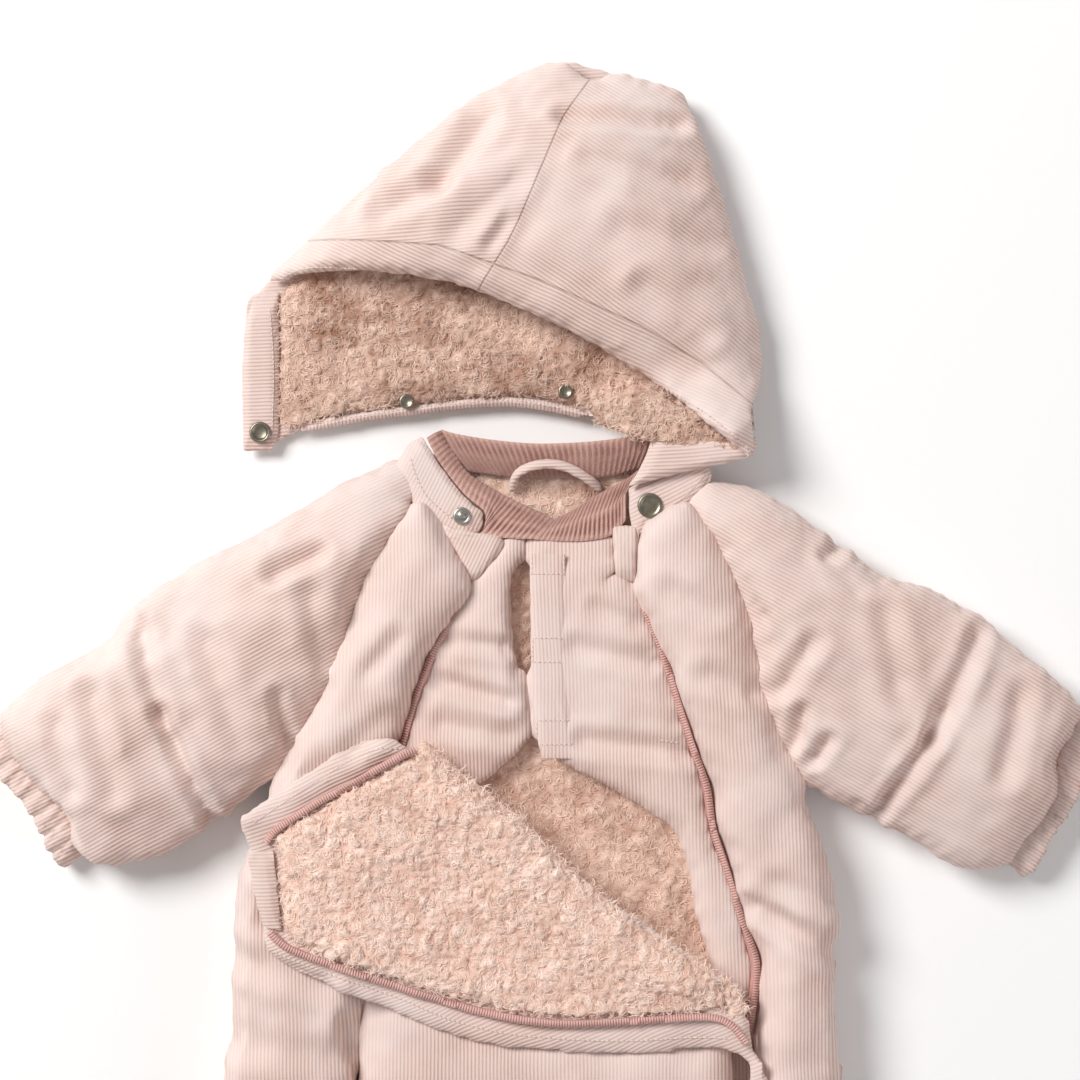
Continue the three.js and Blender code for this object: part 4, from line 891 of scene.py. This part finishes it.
for node, (finish, fill) in SMALL.items():
    piece = copy_of(node, node + "_cloth")
    if node == "hanger_loop":
        subdivided(piece, 1)
        put_points(piece, points_of(piece) + normals_of(piece) * LOOP_FULLER)
    else:
        subdivided(piece, 2)
    if node in TUCKED:
        tucked(piece, *TUCKED[node])
    relaxed(piece, 4)
    rumpled(piece, 0.3, pucker=0.25, creases=False)
    if node in GATHERED:
        gathered(piece, *GATHERED[node])
    store_lit_side(piece)
    dressed(piece, (node,), finish)
print("small cord pieces:", len(SMALL))


# %% [markdown]
# ## Rib knit collar
# A rib is a column of knit stitches that stands up between two that sink. The imported bands have
# the ribs already. Finer faces, relaxed, round them, and each point keeps as an attribute how
# high it stands between the lowest and the highest point near it, so the finish can paint shade
# into the grooves between the ribs.

# %% Rib knit collar
RIBS = ("rib_back", "rib_front_right", "rib_front_left")
RIB_WIDER = 0.055           # share by which a band is widened, to run on under its neighbours
RIB_NEAR = 0.0032           # metres around a point, which always hold a rib and a groove
RIB_SAME_SIDE = 0.0016      # points further up or down are on another side of the band
RIB_LEAST = 0.0003          # less relief than this is no rib


def flat_tree(points):
    """A tree that finds the points nearest to a place seen from above."""
    tree = KDTree(len(points))
    for i, p in enumerate(points):
        tree.insert(Vector((p[0], p[1], 0)), i)
    tree.balance()
    return tree


for node in RIBS:
    piece = copy_of(node, node + "_knit")
    subdivided(piece, 2)
    wide = points_of(piece)
    wide[:, 0] += (wide[:, 0] - wide[:, 0].mean()) * RIB_WIDER
    put_points(piece, wide)
    base = points_of(piece)
    relaxed(piece, 2)
    rounded = points_of(piece)
    tree = flat_tree(base)
    height = np.zeros(len(rounded))
    for i, p in enumerate(rounded):
        near = [base[j][2] for _, j, _ in tree.find_range(Vector((p[0], p[1], 0)), RIB_NEAR)]
        top = [z for z in near if abs(z - p[2]) < RIB_SAME_SIDE]
        spread = max(top) - min(top) if top else 0
        height[i] = (p[2] - min(top)) / spread if spread > RIB_LEAST else 0.5
    store(piece, "height", np.clip(height, 0, 1))
    dressed(piece, (node,), "rib")
print("rib bands:", len(RIBS))


# %% [markdown]
# ## Sherpa lining
# Sherpa is a knitted pile whose yarn ends curl up into small clumps, 5 to 8 mm across. The base
# gets a cobbled relief: each point rises by how far it is from the border between two clumps.
# Over it lie thousands of locks. A lock is a flat strip that tapers to its tip. Each copy is bent
# round the nearest clump and follows the relief below it, and along an edge the locks lean out.
# Locks that other pieces cover are left out, because no one can see them.

# %% The cobbled base
CLUMP = 6.6             # millimetres from one clump to the next
CLUMP_HIGH = 3.4
CLUMP_SINK = 1.2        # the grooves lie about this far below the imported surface


def cobbles(plan):
    """Height from 0 to 1 over plan points: rounded clumps around jittered centres."""
    source = np.random.default_rng(5)
    low = plan.min(axis=0) - 2 * CLUMP
    high = plan.max(axis=0) + 2 * CLUMP
    nx, ny = ((high - low) / CLUMP).astype(int) + 1
    grid = np.stack(np.meshgrid(np.arange(nx), np.arange(ny)), -1).reshape(-1, 2)
    centres = low + (grid + source.uniform(-0.42, 0.42, grid.shape)) * CLUMP
    size = source.uniform(0.75, 1.25, len(centres))
    tree = flat_tree(centres)
    height = np.zeros(len(plan))
    for i, p in enumerate(plan):
        (_, nearest, to_it), (_, _, to_next) = tree.find_n(Vector((p[0], p[1], 0)), 2)
        height[i] = min(1.0, (to_next - to_it) / (0.75 * CLUMP)) * size[nearest]
    return np.clip(height, 0, 1.2) / 1.2


def cobbled(piece, voxel, high):
    """Gives a merged piece the relief of its clumps and keeps their height, which the finish turns
    into painted shade between them.
    """
    remeshed(piece, voxel)
    points = points_of(piece)
    normals = normals_of(piece)
    plan = plan_of(points)
    warped = plan + 1.6 * np.stack([waves(plan, 9, 21), waves(plan, 9, 22)], -1)
    bump = cobbles(warped)
    facing = np.clip(normals[:, 2] * 1.2 + 0.35, 0, 1)
    soft = 0.8 * waves(plan, 34, 31)
    points += normals * ((bump ** 0.7 * high - CLUMP_SINK + soft) * facing * MM)[:, None]
    put_points(piece, points)
    # The clump height is stored for the colour: painted shade in the grooves, pale crowns.
    store(piece, "height", 0.25 + 0.6 * bump)


bases = {}
for node, voxel, finish, high in (("panel_lining", 2.0, "pile", 3.8),
                                  ("back_lining", 3.4, "pile_inner_shaded", CLUMP_HIGH),
                                  ("hood_lining", 2.4, "pile_deep_shaded", CLUMP_HIGH)):
    bases[node] = copy_of(node, node + "_base")
    cobbled(bases[node], voxel, high)
    dressed(bases[node], (node,), finish)


# %% The roll at the fold and the pad in the hood's corner
FOLD = [(-74, -125), (-50, -146), (-32, -161), (-10, -179), (6, -195), (22, -210), (42, -226),
        (69, -244), (97, -262), (112, -274), (118, -284)]


def rolled_edge(name, line, z, radius):
    """A soft roll along a line: a curve with a round bevel, made into a mesh."""
    deselect()
    curve = bpy.data.curves.new(name, "CURVE")
    curve.dimensions = "3D"
    curve.bevel_depth = radius * MM
    curve.use_fill_caps = True
    spline = curve.splines.new("POLY")
    spline.points.add(len(line) - 1)
    for point, (x, y) in zip(spline.points, line):
        point.co = (*at(x, y, z), 1)
    piece = bpy.data.objects.new(name, curve)
    bpy.context.collection.objects.link(piece)
    activate(piece)
    bpy.ops.object.convert(target="MESH")
    return bpy.context.object


def pad_over(name, outline, low, high):
    """A flat pad with a given outline, for pile that laps over an edge."""
    deselect()
    bpy.ops.mesh.primitive_circle_add(vertices=len(outline), radius=1, fill_type="NGON")
    piece = bpy.context.object
    piece.name = name
    put_points(piece, np.array([at(x, y, low) for x, y in outline], float))
    bpy.ops.object.transform_apply(location=True, rotation=True, scale=True)
    bpy.ops.object.mode_set(mode="EDIT")
    bpy.ops.mesh.select_all(action="SELECT")
    bpy.ops.mesh.extrude_region_move(
        TRANSFORM_OT_translate={"value": (0, 0, (high - low) * MM)})
    bpy.ops.mesh.select_all(action="SELECT")
    bpy.ops.mesh.normals_make_consistent(inside=False)
    bpy.ops.object.mode_set(mode="OBJECT")
    return piece


CORNER = [(27, 81), (66, 92), (99, 70), (121, 54), (105, 55), (72, 57), (53, 63), (36, 69)]
for name, piece, finish in (
        ("fold_roll", rolled_edge("fold_roll", FOLD, z=47, radius=8.5), "pile"),
        ("hood_corner", pad_over("hood_corner", CORNER, low=30, high=42), "pile_deep_shaded")):
    cobbled(piece, 2.0, 3.0)
    finished(piece, finish)
    bases[name] = piece
print("pile bases:", {n: len(p.data.polygons) for n, p in bases.items()})


# %% One lock of pile
def as_model(piece):
    """The points and faces of a piece, which itself is thrown away."""
    points = points_of(piece)
    faces = [list(face.vertices) for face in piece.data.polygons]
    bpy.data.objects.remove(piece)
    return points, faces


def lock_model():
    """A flat strip one unit long, tapered to its tip."""
    deselect()
    bpy.ops.mesh.primitive_grid_add(x_subdivisions=6, y_subdivisions=1, size=1,
                                    location=(0.5, 0, 0))
    lock = bpy.context.object
    bpy.ops.object.transform_apply(location=True, rotation=True, scale=True)
    points = points_of(lock)
    points[:, 1] *= 1.0 - 0.65 * points[:, 0] ** 2
    put_points(lock, points)
    return as_model(lock)


LOCK, LOCK_FACES = lock_model()
print("faces in a lock:", len(LOCK_FACES))


# %% Locks round the clumps
COVERS = [n + "_cloth" for n in (*PADDED, *SMALL) if n not in UNDERNEATH]
COVERS += [n + "_knit" for n in RIBS]
covers = meshes_tree([bpy.data.objects[n] for n in COVERS])
covers_and_flap = meshes_tree([bpy.data.objects[n]
                               for n in COVERS + ["panel_lining_base", "fold_roll"]])
MAP_STEP = 0.0012       # metres between the heights of the map
MAP_RIM = 0.006
BENDS = 25              # short straight steps that a lock's curve is summed from
LONG_SHARE = 0.04       # stray locks, longer and thinner than the rest


def height_map(base):
    """Heights of a pile base on a grid, so that many points can be looked up at once."""
    tree = meshes_tree([base])
    points = points_of(base)
    low = points.min(axis=0) - MAP_RIM
    high = points.max(axis=0) + MAP_RIM
    nx, ny = (int((high[k] - low[k]) / MAP_STEP) + 2 for k in (0, 1))
    grid = np.full((nx, ny), np.nan)
    for i in range(nx):
        for j in range(ny):
            start = Vector((low[0] + i * MAP_STEP, low[1] + j * MAP_STEP, 0.2))
            hit = tree.ray_cast(start, DOWN)[0]
            if hit is not None:
                grid[i, j] = hit.z
    return grid, low[:2]


def looked_up(height, x, y):
    """Heights of the map at many places; nan where the base has none."""
    grid, low = height
    i = np.clip(((x - low[0]) / MAP_STEP).round().astype(int), 0, grid.shape[0] - 1)
    j = np.clip(((y - low[1]) / MAP_STEP).round().astype(int), 0, grid.shape[1] - 1)
    return grid[i, j]


def rim_of(height, source):
    """Places along the edge of a pile base, and the way out from each."""
    grid, low = height
    inside = ~np.isnan(grid)
    soft = inside.astype(float)
    for _ in range(4):
        wider = np.pad(soft, 1)
        soft = (wider[:-2, 1:-1] + wider[2:, 1:-1] + wider[1:-1, :-2] + wider[1:-1, 2:]
                + 2 * soft) / 6
    gx, gy = np.gradient(soft)
    i, j = np.nonzero(inside & (soft < 0.75))
    roots = low + np.stack([i, j], -1) * MAP_STEP
    roots = roots + source.uniform(-0.5, 0.5, roots.shape) * MAP_STEP
    return roots, np.arctan2(-gy[i, j], -gx[i, j])


def lock_roots(height, spacing, source, cover, right_end):
    """Where locks stand: a jittered grid and the rim. The way out is nan inside the rim."""
    grid, low = height
    high = low + np.array(grid.shape) * MAP_STEP
    gap = spacing * MM
    xs, ys = np.meshgrid(np.arange(low[0], high[0], gap), np.arange(low[1], high[1], gap))
    roots = np.stack([xs.ravel(), ys.ravel()], -1)
    roots += source.uniform(-0.5, 0.5, roots.shape) * gap
    rim, way_out = rim_of(height, source)
    way_out = np.concatenate([np.full(len(roots), np.nan), way_out])
    roots = np.concatenate([roots, rim])
    z = looked_up(height, *roots.T)
    kept = ~np.isnan(z)
    if right_end is not None:
        kept &= roots[:, 0] < at(right_end, 0).x
    if cover is not None:
        for i in np.nonzero(kept)[0]:
            above = Vector((*roots[i], z[i] + 0.001))
            kept[i] = cover.ray_cast(above, UP)[0] is None
    return roots[kept], z[kept], way_out[kept]


def fleece(name, node, spacing, finish, seed, cover=None, right_end=None):
    """Locks over one pile base; each turns round the nearest clump."""
    source = np.random.default_rng(seed)
    height = height_map(bases[node])
    roots, z, edge_way = lock_roots(height, spacing, source, cover, right_end)
    low = height[1]
    extent = np.array(height[0].shape) * MAP_STEP
    cell = CLUMP * MM
    centres = low + source.uniform(0, 1, (int(np.prod(extent / cell)) + 1, 2)) * extent
    tree = flat_tree(centres)
    nearest = np.array([tree.find(Vector((x, y, 0)))[1] for x, y in roots])
    way_round = source.choice([-1.0, 1.0], len(centres))[nearest]
    out = roots - centres[nearest]
    angle = np.arctan2(out[:, 1], out[:, 0])
    n = len(roots)
    heading = angle + way_round * (math.pi / 2 + source.uniform(-0.7, 0.9, n))
    curve = way_round * source.uniform(0.6, 3.4, n)
    length = source.uniform(3.2, 7.0, n) * MM
    at_edge = ~np.isnan(edge_way)
    heading = np.where(at_edge, edge_way + source.uniform(-1.3, 1.3, n), heading)
    curve = np.where(at_edge, source.uniform(-2.6, 2.6, n), curve)
    length = np.where(at_edge, length * 0.8, length)
    longer = source.uniform(0, 1, n) < LONG_SHARE
    length = np.where(longer, length * 1.9, length)
    lift = np.where(longer, source.uniform(1.0, 3.0, n), source.uniform(0.2, 1.5, n)) * MM
    wide = np.where(longer, 0.16, source.uniform(0.3, 0.62, n)) * MM
    tilt = source.uniform(-0.6, 0.6, n)
    t = LOCK[:, 0]
    side = LOCK[:, 1]
    bend = heading[:, None] + curve[:, None] * np.linspace(0, 1, BENDS)[None, :]
    dx = np.cumsum(np.cos(bend), axis=1) / BENDS
    dy = np.cumsum(np.sin(bend), axis=1) / BENDS
    index = np.clip((t * (BENDS - 1)).round().astype(int), 0, BENDS - 1)
    x = roots[:, :1] + length[:, None] * dx[:, index]
    y = roots[:, 1:] + length[:, None] * dy[:, index]
    ground = looked_up(height, x, y)
    ground = np.where(np.isnan(ground), z[:, None] - 0.0015, ground)
    ground = np.maximum(ground, z[:, None] - 0.003)
    arch = np.sin(math.pi * np.clip(t, 0, 1) ** 0.8)
    rise = ground + lift[:, None] * (0.35 * t + 0.65 * arch) + 0.0001
    rise = np.where(longer[:, None], z[:, None] + lift[:, None] * (t + 0.4 * arch), rise)
    across = bend[:, index] + math.pi / 2
    half = wide[:, None] * side[None, :]
    x = x + np.cos(across) * half * np.cos(tilt)[:, None]
    y = y + np.sin(across) * half * np.cos(tilt)[:, None]
    rise = rise + half * np.sin(tilt)[:, None]
    points = np.stack([x, y, rise], -1).reshape(-1, 3)
    first = (np.arange(n) * len(LOCK))[:, None, None]
    faces = (np.array(LOCK_FACES)[None] + first).reshape(-1, 4)
    piece = new_piece(name, points, faces.tolist())
    # Painted light: locks near a clump's middle and towards their tips get the pale crown colour,
    # locks between clumps the hollow's painted shade; clump_tone and the last random term are the
    # pile's own tint.
    crown = 1 - np.clip(np.hypot(*out.T) / (0.8 * cell), 0, 1)
    clump_tone = source.uniform(-0.15, 0.15, len(centres))[nearest]
    tone = 0.5 + 0.4 * crown + clump_tone + source.uniform(-0.12, 0.12, n)
    store(piece, "height", np.clip(tone[:, None] + 0.12 * t[None, :], 0, 1).ravel())
    finished(piece, finish)
    print(name, n, "locks,", len(faces) * 2, "triangles")


fleece("panel_fleece", "panel_lining", 1.45, "pile", 1)
fleece("hood_fleece", "hood_lining", 1.55, "pile_deep_shaded", 2, cover=covers, right_end=112)
fleece("roll_fleece", "fold_roll", 1.45, "pile", 4, cover=meshes_tree([bases["panel_lining"]]))
fleece("corner_fleece", "hood_corner", 1.4, "pile_deep_shaded", 5, cover=covers, right_end=112)
fleece("back_fleece", "back_lining", 1.6, "pile_inner_shaded", 3, cover=covers_and_flap)


# %% [markdown]
# ## Zips
# A coil zip is a row of small nylon loops on a tape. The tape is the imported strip, rounded. One
# loop is a short capsule laid across the tape and is copied along the zip at the real pitch.

# %% Zip tapes and coils
ZIP_LINES = {
    # node: picture millimetres along the coil
    "zip_body_right": [(-38, -26), (-48, -42), (-63, -66), (-74, -92), (-82, -120), (-90, -148),
                       (-93, -160)],
    "zip_body_left": [(55, -28), (63, -42), (73, -66), (81, -92), (90, -120), (100, -148),
                      (104, -174), (112.5, -200), (120.5, -226), (130, -254), (127.5, -282),
                      (124, -300)],
    "zip_panel_right": [(-163, -180), (-156, -171.5), (-134, -157), (-112, -145), (-88, -131),
                        (-74, -124.5)],
    "zip_panel_left": [(-160, -232), (-155, -237.5), (-144, -244), (-113, -255), (-76, -268),
                       (-54, -275), (-36, -280), (-8, -285), (19, -287), (61, -285), (88, -283),
                       (104, -283.4), (114, -288), (122, -298)],
}
COIL_PITCH = 1.6            # millimetres
ON_TAPE = 0.0004            # metres from the tape to the middle of a loop


def smooth_path(points, step):
    """Places and directions every step millimetres along a rounded line through points."""
    p = np.array(points, float)
    p = np.vstack([2 * p[0] - p[1], p, 2 * p[-1] - p[-2]])
    dense = []
    for i in range(1, len(p) - 2):
        for t in np.linspace(0, 1, 30, endpoint=False):
            a, b, c, d = p[i - 1:i + 3]
            dense.append(0.5 * (2 * b + (c - a) * t + (2 * a - 5 * b + 4 * c - d) * t * t
                                + (3 * b - a - 3 * c + d) * t ** 3))
    dense.append(p[-2])
    dense = np.array(dense)
    along = np.concatenate([[0], np.cumsum(np.hypot(*np.diff(dense, axis=0).T))])
    marks = np.arange(step / 2, along[-1], step)
    places = np.stack([np.interp(marks, along, dense[:, k]) for k in (0, 1)], -1)
    ahead = np.stack([np.interp(marks + 0.5, along, dense[:, k]) for k in (0, 1)], -1)
    behind = np.stack([np.interp(marks - 0.5, along, dense[:, k]) for k in (0, 1)], -1)
    way = ahead - behind
    return places, way / np.maximum(np.hypot(*way.T)[:, None], 1e-6)


def capsule_model(length, thick):
    """A short rounded thread along X: a cylinder whose ends are inset and pushed out."""
    deselect()
    bpy.ops.mesh.primitive_cylinder_add(vertices=6, radius=thick / 2, depth=length,
                                        rotation=(0, math.pi / 2, 0))
    thread = bpy.context.object
    bpy.ops.object.transform_apply(location=True, rotation=True, scale=True)
    bpy.ops.object.mode_set(mode="EDIT")
    bpy.ops.mesh.select_all(action="DESELECT")
    bpy.ops.object.mode_set(mode="OBJECT")
    for face in thread.data.polygons:
        face.select = abs(face.normal.x) > 0.9
    bpy.ops.object.mode_set(mode="EDIT")
    bpy.ops.mesh.inset(thickness=thick * 0.2, depth=thick * 0.22)
    bpy.ops.object.mode_set(mode="OBJECT")
    return as_model(thread)


def copies(name, model, places, finish):
    """One object with a copy of a model at each place and turn."""
    points, shape = model
    verts = []
    faces = []
    for i, (place, turn) in enumerate(places):
        verts.append(points @ np.array(turn).T + np.array(place))
        faces.extend([i * len(points) + k for k in face] for face in shape)
    finished(new_piece(name, np.concatenate(verts), faces), finish)


def drop(tree, x, y):
    """Where a straight line down meets a piece, and which way the piece faces there."""
    hit, normal, _, _ = tree.ray_cast(at(x, y, 150), DOWN)
    return hit, normal


def upright(way, normal):
    """A turn whose X runs along way and whose Z is the cloth's normal."""
    x = Vector((way[0], way[1], 0))
    x = (x - normal * x.dot(normal)).normalized()
    y = normal.cross(x)
    return np.array([x, y, normal]).T


coil_loop = capsule_model(3.8 * MM, 1.05 * MM)
for node, line in ZIP_LINES.items():
    tape = copy_of(node, node + "_tape")
    subdivided(tape, 2)
    relaxed(tape, 2)
    dressed(tape, (node,), "tape")
    tree = meshes_tree([tape])
    places, ways = smooth_path(line, COIL_PITCH)
    spots = []
    for (x, y), way in zip(places, ways):
        hit, normal = drop(tree, x, y)
        if hit is None or normal.z < 0.5:
            continue
        across = (-way[1], way[0])
        spots.append((hit + UP * ON_TAPE, upright(across, normal)))
    copies(node + "_coil", coil_loop, spots, "zip")
    print(node, len(spots), "coil loops")


# %% [markdown]
# ## Topstitching
# Seams on this suit are stitched again a few millimetres from the edge. One stitch is a short
# rounded thread, sunk a little into the cloth, and a row of them follows a line drawn on the
# picture. Each stitch is dropped on the piece below it, so it lies on the padding.

# %% Topstitching
BOXES = [(-4.8, 14.4, -6.6, -20.4), (-4.2, 18, -58.8, -73.2), (-1.8, 19.2, -108, -122.4)]
STITCHES = {
    "hood_shell": [[(-170, 150), (-149, 161.5), (-125, 163.5), (-81, 158.5), (-32, 145.5),
                    (19, 122.5), (63, 97.5), (97, 76.5), (126, 52)]],
    "collar_stand_right": [[(-78, 50), (-74, 38), (-68, 26.5), (-58, 17), (-47.5, 9.4),
                            (-38.4, 5.4)]],
    "collar_stand_left": [[(57.6, 9.4), (73, 17.2), (86, 25.4), (92.6, 32), (99, 39.4)]],
    "placket": [side for left, right, top, low in BOXES
                for side in ([(left, top), (right, top)], [(right, top), (right, low)],
                             [(right, low), (left, low)], [(left, low), (left, top)])],
    "storm_flap_left": [[(72, -120), (84, -122)], [(89.4, -128), (107.4, -139)]],
    "panel_turned": [[(-170, -168), (-140, -148), (-113, -131), (-96, -124), (-84, -124)],
                     [(-158, -244), (-144, -250), (-112, -262), (-80, -274), (-51, -286),
                      (-23, -293), (6, -296), (47, -298), (88, -296), (112, -296)]],
    "hood_neck_facing": [[(-140, 70.4), (-124, 73), (-68, 81), (-20, 84.6), (12, 80)]],
    "hood_end_right": [[(-163, 60), (-162, 104), (-164, 140)]],
}
STITCH = capsule_model(2.3 * MM, 0.5 * MM)
STITCH_STEP = 2.9           # millimetres
STITCH_LIFT = 0.00005       # metres: the rest of a stitch is sunk into the cloth
for node, lines in STITCHES.items():
    tree = meshes_tree([bpy.data.objects[node + "_cloth"]])
    spots = []
    for line in lines:
        for (x, y), way in zip(*smooth_path(line, STITCH_STEP)):
            hit, normal = drop(tree, x, y)
            if hit is not None and normal.z > 0.3:
                spots.append((hit + normal * STITCH_LIFT, upright(way, normal)))
    if spots:
        copies(node + "_stitches", STITCH, spots, "thread")
    print(node, len(spots), "stitches")


# %% [markdown]
# ## Snaps
# A ring snap is a pressed disc with a rolled rim. A circle is extruded up and resized, ring by
# ring, along the snap's profile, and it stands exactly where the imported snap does. The cap is
# bare.

# %% Snaps
HOOD_SNAP = [(1, 0), (1, 0.5), (0.9, 1.0), (0.7, 0.95), (0.5, 0.4), (0.0, 0.4)]
SNAP_FORMS = {
    # node: (finish, slot, profile as (share of radius, share of height))
    "snap_stud": ("silver", "snap_silver", [(1, 0), (1, 0.3), (0.94, 0.5), (0.82, 0.56), (0.7, 0.5),
                                            (0.6, 0.2), (0.42, 0.2), (0.38, 0.6), (0.34, 0.95),
                                            (0.24, 1.0), (0.0, 1.0)]),
    "snap_cap": ("brass", "snap_brass", [(1, 0), (1, 0.4), (0.96, 0.8), (0.88, 1.0), (0.78, 0.98),
                                         (0.7, 0.7), (0.62, 0.62), (0.4, 0.66), (0.0, 0.7)]),
    "snap_socket": ("brass", "snap_brass", [(1, 0), (1, 0.5), (0.94, 0.9), (0.84, 1.0), (0.72, 0.9),
                                            (0.64, 0.4), (0.5, 0.15), (0.0, 0.15)]),
    "snap_hood_1": ("brass", "snap_silver", HOOD_SNAP),
    "snap_hood_2": ("brass", "snap_silver", HOOD_SNAP),
}
RING_POINTS = 48
LEAST_RING = 0.02           # a ring of no size at all couldn't be resized again
for node, (finish, slot, profile) in SNAP_FORMS.items():
    low, high = (Vector(c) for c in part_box(node))
    centre = (low + high) / 2
    radius = (high.y - low.y) / 2
    tall = high.z - low.z
    deselect()
    bpy.ops.mesh.primitive_circle_add(vertices=RING_POINTS, radius=radius, fill_type="NGON",
                                      location=(centre.x, centre.y, low.z))
    piece = bpy.context.object
    piece.name = node + "_disc"
    bpy.ops.object.transform_apply(location=True, rotation=True, scale=True)
    bpy.ops.object.mode_set(mode="EDIT")
    bpy.ops.mesh.select_all(action="SELECT")
    for (r0, z0), (r1, z1) in zip(profile, profile[1:]):
        bpy.ops.mesh.extrude_region_move(
            TRANSFORM_OT_translate={"value": (0, 0, (z1 - z0) * tall)})
        share = max(r1, LEAST_RING) / max(r0, LEAST_RING)
        bpy.ops.transform.resize(value=(share, share, 1), center_override=(centre.x, centre.y, 0))
    bpy.ops.mesh.select_all(action="SELECT")
    bpy.ops.mesh.normals_make_consistent(inside=False)
    bpy.ops.object.mode_set(mode="OBJECT")
    dressed(piece, (node,), finish)
print("snaps:", len(SNAP_FORMS))


# %% [markdown]
# ## Floor
# The floor is a pale sheet of paper, large enough that its edge is never seen.

# %% Floor
deselect()
bpy.ops.mesh.primitive_plane_add(size=8, location=(0, 0, 0))
floor = bpy.context.object
floor.name = "floor"
paper = Finish("paper")
grain = paper.noise(paper.place(), 300.0, 2.0)
floor.data.materials.append(
    paper.surface(paper.mixed(grain, linear("#FAFAFA"), linear("#FCFCFC")), Roughness=0.9))


# %% [markdown]
# ## Triangles
# The dressed pieces' triangles are counted, in all and for the largest forty.

# %% Triangles and the end
counts = {o.name: sum(len(f.vertices) - 2 for f in o.data.polygons)
          for o in bpy.data.objects if o.type == "MESH" and o.name not in frame["nodes"]}
print("triangles in all:", sum(counts.values()))
print("most:", sorted(counts.items(), key=lambda item: -item[1])[:40])
